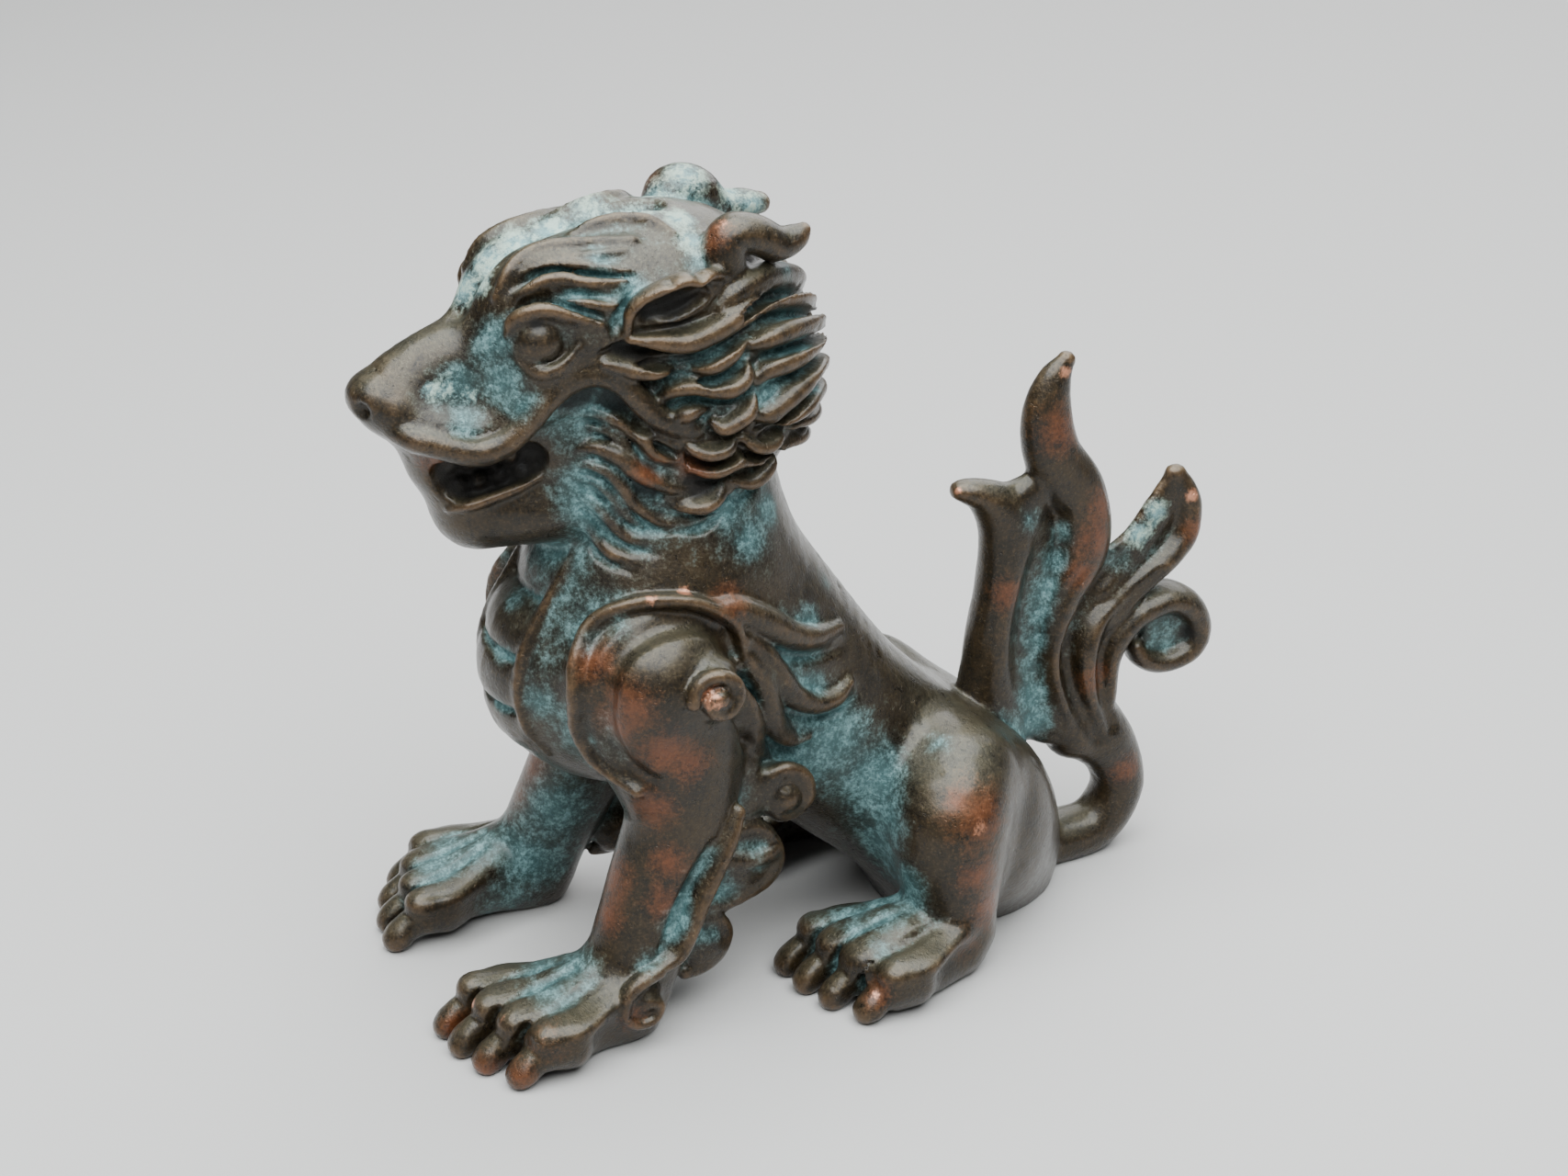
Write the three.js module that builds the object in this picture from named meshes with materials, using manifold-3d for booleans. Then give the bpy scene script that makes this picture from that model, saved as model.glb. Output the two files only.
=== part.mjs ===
// A seated, horned mythical beast, cast in one piece as a small brass figure.
// Lengths are in millimetres. It looks along -Y, its left side is +X, and it rests on the plane Z = 0.
import * as THREE from "three";
import { mergeVertices } from "three/addons/utils/BufferGeometryUtils.js";
import Module from "manifold-3d";

const wasm = await Module();
wasm.setup();

// Driving sizes
const FACET = 7; // the usual size of a facet on the large forms
const FINE_FACET = 2.6; // and on toes, locks and other carving
const TAIL_FACET = 4; // and on the tail, which bends more
const RING_STRETCH = 1.45; // how much longer than wide a facet is along a strand
const FOREPAW_LEFT = 14.6; // how far the left forepaw stands from the middle
const FOREPAW_RIGHT = 18.4; // the right one is set wider in the casting
const HINDPAW = 18.6; // how far a hind paw stands from the middle
const HORN = 8.5; // how far a horn stands from the middle
const TAIL_THICK = 3.6; // half the plume's thickness at its foot
const MANE_RADIUS = 14; // the ball of hair that the locks lie on
const MANE_MIDDLE = new THREE.Vector3(0, -10.8, 75);
const EYE_RADIUS = 2.8;
const KNOB_RADIUS = 3; // the spiral boss on the shoulder

const LEFT = 1;
const RIGHT = -1;
const ACROSS = new THREE.Vector3(1, 0, 0);

// A strand is a sphere's grid strung along a smooth curve. Each stop is [x, y, z, half width, half depth],
// with the width measured along the direction "across" and the depth square to it.
function strand(stops, { across = ACROSS, facet = FACET, sides, rings, capRows = 2 } = {}) {
  const spine = new THREE.CatmullRomCurve3(stops.map(([x, y, z]) => new THREE.Vector3(x, y, z)));
  const girth = new THREE.CatmullRomCurve3(
    stops.map(([, , , wide, deep = wide]) => new THREE.Vector3(wide, deep, 0)),
  );
  const fattest = Math.max(...stops.map(([, , , wide, deep = wide]) => Math.max(wide, deep)));
  const columns = sides ?? THREE.MathUtils.clamp(Math.round((2 * Math.PI * fattest) / facet), 6, 18);
  const steps = rings ?? Math.max(2, Math.round(spine.getLength() / (facet * RING_STRETCH)));
  const rows = steps + 2 * capRows;
  const geometry = new THREE.SphereGeometry(1, columns, rows);
  const position = geometry.getAttribute("position");
  for (let row = 0; row <= rows; row += 1) {
    const along = THREE.MathUtils.clamp((row - capRows) / steps, 0, 1);
    const t = spine.getUtoTmapping(along);
    const half = girth.getPoint(t);
    const capTurn = ((Math.min(row, rows - row, capRows) / capRows) * Math.PI) / 2;
    const overhang = Math.cos(capTurn) * Math.min(half.x, half.y) * (row * 2 < rows ? -1 : 1);
    const tangent = spine.getTangent(t);
    const centre = spine.getPoint(t).addScaledVector(tangent, overhang);
    const wide = across.clone().addScaledVector(tangent, -tangent.dot(across)).normalize();
    const deep = new THREE.Vector3().crossVectors(tangent, wide);
    for (let column = 0; column <= columns; column += 1) {
      const turn = (column / columns) * 2 * Math.PI;
      const point = centre
        .clone()
        .addScaledVector(wide, -Math.cos(turn) * half.x * Math.sin(capTurn))
        .addScaledVector(deep, Math.sin(turn) * half.y * Math.sin(capTurn));
      position.setXYZ(row * (columns + 1) + column, point.x, point.y, point.z);
    }
  }
  return geometry;
}

// An egg is a sphere stretched to three half sizes.
function egg([x, y, z], [halfX, halfY, halfZ], facet = FACET) {
  const girth = 2 * Math.PI * Math.max(halfX, halfY, halfZ);
  const sides = THREE.MathUtils.clamp(Math.round(girth / facet), 6, 16);
  return new THREE.SphereGeometry(1, sides, Math.round(sides * 0.55))
    .rotateX(Math.PI / 2)
    .scale(halfX, halfY, halfZ)
    .translate(x, y, z);
}

const mirror = (side, stops) => stops.map(([x, ...rest]) => [side * x, ...rest]);
const bothSides = (make) => [LEFT, RIGHT].flatMap(make);

// The outside of the given forms, as a ray coming in from "outer" along "inward" meets it.
function outsideOf(geometries) {
  const meshes = geometries.map((geometry) => new THREE.Mesh(geometry));
  const meet = (outer, inward) => new THREE.Raycaster(outer, inward).intersectObjects(meshes)[0].point;
  return {
    side: ([y, z]) => {
      const inward = new THREE.Vector3(-1, 0, 0);
      return { inward, point: meet(new THREE.Vector3(90, y, z), inward) };
    },
    front: ([x, z]) => {
      const inward = new THREE.Vector3(0, 1, 0);
      return { inward, point: meet(new THREE.Vector3(x, -90, z), inward) };
    },
    mane: ([turn, rise]) => {
      const outward = new THREE.Vector3(1, 0, 0)
        .applyAxisAngle(new THREE.Vector3(0, 1, 0), THREE.MathUtils.degToRad(-rise))
        .applyAxisAngle(new THREE.Vector3(0, 0, 1), THREE.MathUtils.degToRad(turn));
      const inward = outward.clone().negate();
      return { inward, point: meet(outward.multiplyScalar(90).add(MANE_MIDDLE), inward) };
    },
  };
}

// A ridge follows the outside through the given places, fullest in its middle and fading at its ends.
// Its middle line lies under the surface by "sink" of its height.
function ridge(meet, places, halfWidth, { height = halfWidth, sink = 0.3, end = 0.5, rings } = {}) {
  const met = places.map(meet);
  const stops = met.map(({ point, inward }, i) => {
    const full = end + (1 - end) * Math.sin((Math.PI * i) / (places.length - 1));
    const centre = point.clone().addScaledVector(inward, sink * height * full);
    return [centre.x, centre.y, centre.z, height * full, halfWidth * full];
  });
  const across = met[Math.floor(places.length / 2)].inward;
  return strand(stops, { across, sides: 4, rings: rings ?? places.length, capRows: 1 });
}

function trunk() {
  const body = [
    [0, -15, 50, 13, 15],
    [0, -6, 39, 12.5, 14],
    [0, 4, 27.5, 12, 12.5],
    [0, 14, 18, 12.5, 12],
    [0, 22, 10.5, 12, 11],
  ];
  return [strand(body, { capRows: 3 }), egg([0, -17.5, 41], [14.5, 19.5, 16]), egg([0, 24.6, 5], [11.6, 12.3, 14])];
}

function neck() {
  return [
    strand([
      [0, -16, 50, 13, 13.5],
      [0, -15, 58, 11.5, 13],
      [0, -14.5, 68, 11.5, 12],
    ]),
  ];
}

function head() {
  const skull = [
    [0, -28.5, 83.6, 10.6, 9.4],
    [0, -20, 84.4, 12, 10.2],
    [0, -13.5, 81.5, 12.4, 12.4],
    [0, -10, 78, 12.2, 12],
  ];
  const muzzle = [
    [0, -25, 81, 10, 7.5],
    [0, -36, 79.2, 8.6, 6],
    [0, -43, 78, 6, 4.8],
    [0, -47, 77.3, 3.8, 3.2],
  ];
  const gums = [
    [0, -24, 70, 8, 6],
    [0, -34, 69.4, 6.2, 6],
    [0, -40.4, 69.4, 4.6, 5],
  ];
  const lowerJaw = [
    [0, -20, 62.5, 8.5, 5.5],
    [0, -30, 62.8, 7.4, 5.4],
    [0, -36.8, 63, 5.8, 5.4],
  ];
  const jawFront = [
    [0, -42.4, 73, 4.6, 3.6],
    [0, -40.6, 68, 5, 3.4],
    [0, -37.8, 62.4, 5, 3.6],
  ];
  return [
    strand(skull, { capRows: 3 }),
    egg(MANE_MIDDLE.toArray(), [MANE_RADIUS, MANE_RADIUS, MANE_RADIUS]),
    egg([0, -22, 69], [10, 11, 11]),
    strand(muzzle),
    strand(gums),
    strand(lowerJaw),
    strand(jawFront, { capRows: 1 }),
    egg([0, -48, 77.4], [3.9, 2.8, 2.8]),
  ];
}

// Each horn stands up from the crown and hooks over backwards, the right one lying lower at its tip.
function horns() {
  return bothSides((side) => {
    const droop = side === LEFT ? 0 : 1;
    const hook = [
      [HORN, -10.4, 84, 2.5, 2.7],
      [HORN, -11, 90, 2.7, 2.6],
      [HORN, -10, 92.6, 2.7, 2.3],
      [HORN, -7.4, 92.4, 2.6, 2.2],
      [HORN, -4.6, 91 - droop, 2.1, 1.9],
      [HORN, -2.4 + droop, 91.4 - 2 * droop, 1.5, 1.3],
      [HORN, -1.4 + 2 * droop, 92.1 - 3 * droop, 0.8, 0.7],
    ];
    return strand(mirror(side, hook), { sides: 7, rings: 7, capRows: 1 });
  });
}

function forelegs() {
  const leg = (side, paw) => {
    const column = [
      [11.5, -21.6, 44.4, 8, 9.4],
      [12.6, -19.6, 36, 7.2, 8.6],
      [13.4, -18.8, 27, 5.8, 6.5],
      [13.6 + (paw - 14.6) * 0.3, -21.6, 18, 5.2, 6.2],
      [14 + (paw - 14.6) * 0.8, -25.4, 8, 5, 5.6],
      [paw - 0.4, -27, 4, 5, 5],
    ];
    const sole = [
      [paw - 1, -26.4, 3, 3.8, 3.4],
      [paw - 0.4, -32, 3.8, 5.8, 4.2],
      [paw, -39, 3, 7.4, 3.8],
    ];
    return [
      strand(mirror(side, column)),
      strand(mirror(side, sole), { capRows: 1 }),
      ...toes(side, paw, -47),
    ];
  };
  return [...leg(LEFT, FOREPAW_LEFT), ...leg(RIGHT, FOREPAW_RIGHT)];
}

// Four toes fan out from the middle of the paw, the outer ones set further back. Each rises to a knuckle,
// steps down and ends in a blunt claw.
function toes(side, paw, front) {
  return [0, 1, 2, 3].map((place) => {
    const x = paw + (place - 1.5) * 4.3;
    const y = front + 0.5 * place ** 2;
    const toe = [
      [paw + (place - 1.5) * 2.6, y + 13, 6.4, 1.6, 2],
      [x, y + 4.4, 5.2, 2.3, 2.2],
      [x, y + 2.2, 2.8, 1.9, 1.9],
      [x, y + 0.6, 1.8, 1.9, 1.8],
    ];
    return strand(mirror(side, toe), { sides: 5, rings: 3, capRows: 1 });
  });
}

function hindLegs() {
  return bothSides((side) => {
    const leg = [
      [12, 17, 22, 7.5, 7],
      [15.4, 14.6, 19, 7.6, 7.4],
      [17, 14.2, 12, 6, 6],
      [HINDPAW - 0.8, 14.6, 5, 5, 5],
    ];
    const sole = [
      [HINDPAW - 0.6, 13.6, 3, 4.4, 4],
      [HINDPAW - 0.4, 8, 4.4, 5.6, 4.8],
      [HINDPAW, 2.6, 4, 6.6, 4.4],
    ];
    return [
      egg([side * 8, 20, 14], [9.5, 11, 12]),
      strand(mirror(side, leg)),
      strand(mirror(side, sole), { capRows: 1 }),
      ...toes(side, HINDPAW, -5.6),
    ];
  });
}

// The tail leaves the rump along the ground, loops up and opens into a plume of flame-like tongues.
function tail() {
  const thick = TAIL_THICK;
  const root = [
    [0, 30, 2.8, 4, 3.6],
    [0, 38.4, 2.2, thick + 0.4, 3.4],
    [0, 43.8, 3.2, thick, 3.4],
    [0, 46.7, 8.2, thick, 3.4],
    [0, 45, 14, thick, 3.8],
    [0, 40.5, 19, thick, 5],
  ];
  const leftTongue = [
    [0, 36, 20, thick, 3.4],
    [0, 30.5, 23.5, thick, 3.6],
    [0, 28.2, 31, thick, 3.4],
    [0, 28.4, 40, 3.2, 2.9],
    [0, 28.6, 47, 2.8, 2.7],
    [0, 26.6, 51.6, 2.2, 1.9],
    [0, 23.4, 54, 1.2, 0.8],
  ];
  const mainTongue = [
    [0, 40, 17.5, thick, 4],
    [0, 35.6, 25.3, thick, 2.9],
    [0, 34.6, 31, thick, 2.8],
    [0, 36.4, 37, 3.5, 3.4],
    [0, 39.4, 43.5, 3.4, 4],
    [0, 38.6, 50, 3.2, 4],
    [0, 35.2, 56, 2.9, 3.6],
    [0, 34.2, 61.4, 2.4, 3.2],
    [0, 35, 65.5, 1.6, 2.1],
    [0, 36.8, 68.4, 0.7, 0.8],
  ];
  const backTongue = [
    [0, 44, 15.4, thick, 3.4],
    [0, 41.2, 21, thick, 3.2],
    [0, 40, 27, thick, 2.8],
    [0, 41.6, 32.4, 3.4, 2.6],
    [0, 46.6, 37.2, 3, 2.6],
    [0, 51.4, 41.4, 2.6, 2.3],
    [0, 53.4, 46.6, 2, 1.8],
    [0, 52.6, 51.4, 0.8, 0.8],
  ];
  const curl = [
    [0, 43.2, 22, 3.2, 2],
    [0, 43.9, 28.3, 3.2, 2],
    [0, 47, 31, 3.2, 1.9],
    [0, 51.4, 32.1, 3.2, 1.8],
    [0, 55.4, 31, 3.2, 1.7],
    [0, 57, 28.2, 3.1, 1.6],
    [0, 55.6, 25.6, 3, 1.5],
    [0, 52.4, 25, 2.8, 1.4],
    [0, 50.6, 26.6, 2.4, 1.2],
  ];
  const webs = [
    [
      [0, 34, 22, 2.6, 2.6],
      [0, 31.2, 30, 2.4, 2.6],
      [0, 32, 40, 1.8, 3],
      [0, 33, 47, 1.5, 3],
      [0, 30.6, 52, 1, 2.4],
    ],
    [
      [0, 39.6, 20, 2.6, 2.6],
      [0, 37.6, 27, 2.6, 2.4],
      [0, 39.2, 33, 1.8, 2.4],
      [0, 42.2, 38, 1, 1.6],
    ],
  ];
  return [root, leftTongue, mainTongue, backTongue, curl, ...webs].map((stops) =>
    strand(stops, { facet: TAIL_FACET, capRows: 1 }),
  );
}

// A lock bends over the ball of hair. It runs between two places given as [turn, rise] in degrees: the turn
// is measured from straight out at the side towards the back, the rise from the level of the ball's middle.
// "bow" lifts its middle and "wave" makes it double back, both in degrees too.
function lock(outside, [turn, rise], [endTurn, endRise], { halfWidth, bow = 0, wave = 0 }) {
  const count = Math.abs(endTurn - turn) > 60 ? 5 : 4;
  const places = Array.from({ length: count }, (_, i) => {
    const t = i / (count - 1);
    const lift = bow * Math.sin(Math.PI * t) + wave * Math.sin(2 * Math.PI * t);
    return [THREE.MathUtils.lerp(turn, endTurn, t), THREE.MathUtils.lerp(rise, endRise, t) + lift];
  });
  return ridge(outside.mane, places, halfWidth, { end: 0.6, rings: count - 1 });
}

function mane(outside) {
  return [
    lock(outside, [-9, 43], [78, 30], { halfWidth: 2, bow: 15 }),
    lock(outside, [-50, 26], [80, 25], { halfWidth: 2, bow: 17, wave: -3 }),
    lock(outside, [7, 27], [79, 20], { halfWidth: 1.9, bow: 3 }),
    lock(outside, [7, 11], [60, 17], { halfWidth: 2.1, bow: 2.5 }),
    lock(outside, [-23, 20], [4, 31], { halfWidth: 1.8, bow: -1.5 }),
    lock(outside, [-39, 4], [2, 20], { halfWidth: 1.8, bow: -1.5, wave: 4.5 }),
    lock(outside, [-16, -4], [5, 4], { halfWidth: 1.6, bow: -9 }),
    lock(outside, [7, -6], [50, 5], { halfWidth: 2 }),
    lock(outside, [-29, -15], [-4, -17], { halfWidth: 1.5, bow: -6 }),
    lock(outside, [-1, -16], [27, -18], { halfWidth: 1.6, bow: -6 }),
    lock(outside, [9, -14], [50, -8], { halfWidth: 1.8 }),
    lock(outside, [-26, -29], [27, -27], { halfWidth: 1.6, bow: -2 }),
    lock(outside, [-10, -37], [25, -32], { halfWidth: 1.6, bow: -9 }),
  ];
}

// The upper lip's edge, the strands of beard behind the mouth, the brows and the eyelids.
function face(outside) {
  const lip = [
    [-43.2, 73.6],
    [-40, 72.1],
    [-35, 71.8],
    [-32.4, 75],
    [-30, 79],
    [-26, 80],
    [-22.5, 78.2],
    [-20.4, 75.4],
    [-16.2, 73.5],
  ];
  const brows = [
    [
      [-35.2, 85.8],
      [-33, 87.6],
      [-30, 88],
      [-25, 86.6],
    ],
    [
      [-36.2, 87.8],
      [-34, 90.2],
      [-29.6, 90.4],
      [-23.4, 89],
    ],
  ];
  const beard = [0, 1, 2].map((row) => [
    [-27.2 - 0.4 * row, 74.3 - 4.2 * row],
    [-24, 73 - 4.8 * row],
    [-20.8 - 1.2 * row, 70.2 - 5.3 * row],
    [-17.3 - 2.3 * row, 68.6 - 5.4 * row],
  ]);
  return [
    ridge(outside.side, lip, 1.3, { height: 1.5, end: 0.7, rings: 7 }),
    ...brows.map((brow) => ridge(outside.side, brow, 1, { height: 1.2, rings: 3 })),
    ...beard.map((hair) => ridge(outside.side, hair, 1.2, { height: 1.1, rings: 3 })),
    egg([8.2, -31.7, 83.9], [EYE_RADIUS, EYE_RADIUS, EYE_RADIUS], FINE_FACET),
  ];
}

function ear() {
  const leaf = [
    [10.8, -24, 84.6, 1, 1],
    [11.6, -21, 86.6, 1.8, 2],
    [12, -17, 87.2, 1.8, 2.1],
    [12, -13, 88.4, 1.2, 1.1],
  ];
  return strand(leaf, { sides: 6, rings: 4, capRows: 1 });
}

function earHollow() {
  const hollow = [
    [13.2, -22.6, 85.6, 1, 0.7],
    [13.9, -19, 87.1, 1.4, 1.2],
    [13.8, -14.6, 87.8, 1, 0.7],
  ];
  return strand(hollow, { sides: 5, rings: 2, capRows: 1 });
}

// The eye sits in a socket, and the mouth is open a little at the side.
function faceHollows() {
  const mouth = [
    [6.8, -41, 69, 1.8, 1.8],
    [7.2, -37, 68.8, 2, 2.2],
    [8, -32.6, 70.8, 1.8, 1.9],
  ];
  return [egg([11.2, -31.4, 83.4], [3, 4.2, 3.6], 3.2), strand(mouth, { sides: 6, rings: 3, capRows: 1 })];
}

// Each shoulder is a ball inside a ring. The ring runs out into flames over the flank.
function shoulder(outside) {
  const ring = [
    [-26.6, 34.2],
    [-29.6, 38],
    [-30.6, 43],
    [-29.2, 48],
    [-26, 51.2],
    [-21.6, 53.2],
    [-17, 53],
    [-13.4, 50.6],
    [-11.6, 46.6],
  ];
  const flames = [
    [
      [-13.6, 50.8],
      [-9, 49.4],
      [-5, 46],
      [-0.6, 43.6],
      [3.2, 42.6],
    ],
    [
      [-10, 46.6],
      [-7, 42.4],
      [-4, 37.8],
      [0, 35.8],
      [3, 36.4],
    ],
    [
      [-11.6, 45],
      [-8.8, 41],
      [-7.4, 36.6],
      [-5.2, 32.8],
      [-1.8, 32.8],
    ],
  ];
  return [
    ridge(outside.side, ring, 1.2, { height: 1.7, sink: 0.1, end: 0.6, rings: 6 }),
    ...flames.map((flame) => ridge(outside.side, flame, 1.5, { rings: 3 })),
    egg([17.2, -16.8, 43.8], [KNOB_RADIUS, KNOB_RADIUS, KNOB_RADIUS], FINE_FACET),
  ];
}

// The hair behind the elbow hangs as a scroll and two leaves, and a cord of it runs down to the dew claw.
function elbowHair() {
  const cord = [
    [14.6, -13.6, 25, 1.6, 1.4],
    [15.6, -16.4, 20, 1.6, 1.4],
    [16.8, -19.4, 14, 1.6, 1.4],
    [17.4, -22.8, 9.4, 1.6, 1.4],
  ];
  return [
    egg([10.8, -5.8, 26], [3.4, 3.9, 3.9], 4),
    egg([13.8, -12.2, 16.8], [1.8, 5.2, 4.3], 4),
    egg([14.8, -17, 7.4], [1.9, 4.2, 3.4], 4),
    egg([17.2, -25.6, 5], [2.4, 2.7, 2.7], 4),
    strand(cord, { sides: 5, rings: 3, capRows: 1 }),
  ];
}

// Broad plates lie one over another down the middle of the breast, between two raised borders.
function breastPlates(outside) {
  const plates = [48.4, 42, 35.6].map((height) => {
    const places = [-5.6, -2.8, 0, 2.8, 5.6].map((x) => [x, height]);
    return ridge(outside.front, places, 3.3, { height: 1.6, sink: 0.55, end: 0.8, rings: 3 });
  });
  const border = [
    [4.8, 56.6],
    [5, 52],
    [6, 46],
    [6.2, 41],
    [6.4, 36],
  ];
  return [...plates, ...pair(ridge(outside.front, border, 0.9, { height: 1, rings: 3 }))];
}

function toSolid(geometry) {
  const bare = geometry.clone();
  bare.deleteAttribute("normal");
  bare.deleteAttribute("uv");
  const merged = mergeVertices(bare, 1e-4);
  const mesh = new wasm.Mesh({
    numProp: 3,
    vertProperties: merged.getAttribute("position").array,
    triVerts: new Uint32Array(merged.index.array),
  });
  return new wasm.Manifold(mesh);
}

function toGeometry(solid) {
  const { numProp, vertProperties, triVerts } = solid.getMesh();
  const corners = vertProperties.length / numProp;
  const positions = new Float32Array(corners * 3);
  for (let i = 0; i < corners; i += 1) {
    positions.set(vertProperties.subarray(i * numProp, i * numProp + 3), i * 3);
  }
  const geometry = new THREE.BufferGeometry();
  geometry.setAttribute("position", new THREE.BufferAttribute(positions, 3));
  geometry.setIndex(new THREE.BufferAttribute(triVerts, 1));
  return geometry;
}

// A form of the left side with its reflection, which turns each of its faces round again.
function pair(geometry) {
  const reflected = geometry.clone().scale(RIGHT, 1, 1);
  const order = Array.from(reflected.getIndex().array);
  for (let i = 0; i < order.length; i += 3) {
    [order[i], order[i + 1]] = [order[i + 1], order[i]];
  }
  return [geometry, reflected.setIndex(order)];
}

function cast() {
  const large = [trunk(), neck(), head(), forelegs(), hindLegs(), tail(), horns()].flat();
  const hair = outsideOf(head());
  const body = outsideOf([...trunk(), ...neck()]);
  const hollows = [...faceHollows(), earHollow()].flatMap(pair);
  const carving = [...mane(hair), ...face(hair), ...shoulder(body), ...elbowHair()].flatMap(pair);
  const ears = pair(ear());
  const ground = new THREE.BoxGeometry(200, 200, 40).translate(0, 0, -20);
  return [...carving, ...breastPlates(body)]
    .map(toSolid)
    .reduce((whole, form) => whole.add(form), carved([...large, ...ears], hollows))
    .subtract(toSolid(ground));
}

// The solid forms joined, with the hollow ones taken out.
function carved(forms, hollows) {
  const whole = forms.map(toSolid).reduce((joined, form) => joined.add(form));
  return hollows.map(toSolid).reduce((left, hollow) => left.subtract(hollow), whole);
}

// The middle of the figure's footprint goes to the origin.
function centred(geometry) {
  geometry.computeBoundingBox();
  const { min, max } = geometry.boundingBox;
  return geometry.translate(-(min.x + max.x) / 2, -(min.y + max.y) / 2, -min.z);
}

const brass = new THREE.MeshStandardMaterial({ color: 0x5a4636, roughness: 0.4, metalness: 0.8 });
const beast = new THREE.Mesh(centred(toGeometry(cast())), brass);
beast.name = "mythical_beast";

const figure = new THREE.Group();
figure.add(beast);
export default figure;
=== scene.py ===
"""The looks of a small brass figure: a seated, horned mythical beast with a worn, verdigrised patina.

The casting is modelled like clay. Its forms are blended into a block of grid points that hold the distance
to the surface, the carving is laid on that surface, and a skin is drawn round the result. Sculpting lengths
are millimetres in the figure's own plan: it looks along -Y, its left side is +X, and it stands on Z = 0.
"""

import math

import bpy
import numpy as np
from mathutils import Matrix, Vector


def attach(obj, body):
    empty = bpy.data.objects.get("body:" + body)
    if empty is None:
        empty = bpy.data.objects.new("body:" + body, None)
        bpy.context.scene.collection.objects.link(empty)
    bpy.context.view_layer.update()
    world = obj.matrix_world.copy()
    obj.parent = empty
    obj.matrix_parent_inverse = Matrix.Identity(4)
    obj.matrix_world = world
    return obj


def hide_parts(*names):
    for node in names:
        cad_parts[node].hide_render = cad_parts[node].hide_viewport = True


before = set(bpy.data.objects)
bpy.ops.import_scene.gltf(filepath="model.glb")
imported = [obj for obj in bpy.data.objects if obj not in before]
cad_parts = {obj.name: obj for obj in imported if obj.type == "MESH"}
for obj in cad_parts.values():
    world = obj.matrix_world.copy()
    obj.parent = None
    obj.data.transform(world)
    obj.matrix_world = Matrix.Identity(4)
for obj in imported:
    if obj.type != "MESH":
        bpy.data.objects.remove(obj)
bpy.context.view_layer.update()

# Driving sizes
MM = 0.001
GRID = 0.4  # spacing of the grid points
LOW = (-31, -55, -2)
HIGH = (31, 61, 99)
FAR = 5.0  # what a grid point holds where no form comes near
FOOTPRINT_MIDDLE = (-0.22, 3.4)  # where the frame's origin lies in the figure's own plan
SKIN_TRIANGLES = 195000  # what the skin is thinned to
FOREPAW_LEFT = 14.6
FOREPAW_RIGHT = 18.4  # the right forepaw is set wider in the casting
HINDPAW = 18.6
FOREPAW_FRONT = -47  # how far forward the inner toe of a forepaw reaches
HINDPAW_FRONT = -5.6
HORN = 8.5
TAIL_THICK = 3.6
TOE_PITCH = 4.3
TOOTH_PITCH = 2.2
FLANK = 8  # patches further out than this, and higher than the paws, lie on both sides
PAW_TOP = 9
MANE_MIDDLE = np.array((0, -10.8, 75.0))
MANE_RADIUS = 13.3
EYE = (7.5, -31.8, 84)
KNOB = (18.4, -17.2, 44.4)
LEFT, RIGHT = 1, -1
BOTH = (LEFT, RIGHT)
AS_GIVEN = (LEFT,)
SIDEWAYS = np.array((1.0, 0, 0))

# The camera of the photograph
CAMERA_TURN = 66.3  # degrees from straight in front towards the figure's left side
CAMERA_RISE = 25.9
CAMERA_DISTANCE = 348
CAMERA_AIM = (0, 0, 45)
CAMERA_LENS = 68
CAMERA_SENSOR = 36

# The patina, with painted shade and a painted highlight, as patches of [x, y, z, radius] over the surface
VERDIGRIS_PATCHES = [
    (12, 1, 31, 3.2), (12, 6, 24, 3.2), (13, 9, 15, 2.4), (18, 8, 13, 1.9), (13, 2, 8, 2.4),
    (14, 6, 8, 2.2), (12, -2, 7, 1.8), (18, 1, 8, 1.6), (22, 2, 7, 1.4), (19, -21, 15, 1.8),
    (18, -16, 22, 1.6), (19, -25, 10, 1.7), (15, -10, 19, 1.7), (15, -14, 15, 1.7), (16, -16, 10, 1.3),
    (12, -2, 38, 1.5), (12, -4, 31, 1.5), (2, 36, 46, 1.3), (2, 35, 42.5, 1.4), (2, 34, 39, 1.4),
    (2, 33.4, 35.4, 1.4), (2, 33, 32, 1.4), (2, 32.4, 28.6, 1.4), (2, 32.6, 25, 1.4),
    (2, 44.6, 41.6, 1.8), (2, 46.8, 44.4, 2.4), (2, 49.4, 47.6, 1.9), (2, 31, 49, 1.6),
    (3, 33, 21, 1.5), (1, 51, 29, 1.6), (8, -27, 63, 2.4), (9, -27, 67, 2.2), (2, -28, 56, 1.8),
    (9, -21, 60, 1.4), (-11, -26, 15, 4), (-13, -28, 7, 4), (-13, -31, 3, 3), (-16, -40, 7, 3),
    (0, -29, 54, 1.4), (1, -34, 51, 1.2), (3, -35, 45, 1.2), (3, -36, 39, 1.2), (8, -33, 41, 1.4),
    (6, -37, 84, 2), (8, -36, 80, 1.6), (9, -34, 77, 1.6), (7, -40, 75, 1.4), (9, -26, 76, 1.6),
    (8, -3, 88, 1.4), (9, -14, 90, 1.2), (14, -32, 8, 2.4), (10, -35, 8, 2), (16, -36, 7, 2),
    (-16, -34, 8, 3), (-20, -36, 7, 2.4), (19, 5, 8, 1.8), (15, 3, 8, 1.8), (10, -2, 46, 1.6),
    (6, 2, 48, 1.4), (15, -26, 52, 1.4), (12, -30, 50, 1.6), (10, -16, 60, 1.4), (15, 8, 20, 2.4),
    (14, 14, 28, 1.6), (8, -25, 91.4, 1.4), (10, -22, 88.6, 1.3), (9.6, -28, 88, 1.1),
    (6, -40, 80, 1.4), (11, -3, 80, 1.6), (11, -12, 62, 1.6), (12, -9, 58, 1.6), (9, -6, 60, 1.5),
    (10, 0, 74, 1.5), (9, 0, 85, 1.4), (13, -8, 76, 1.3),
]
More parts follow.
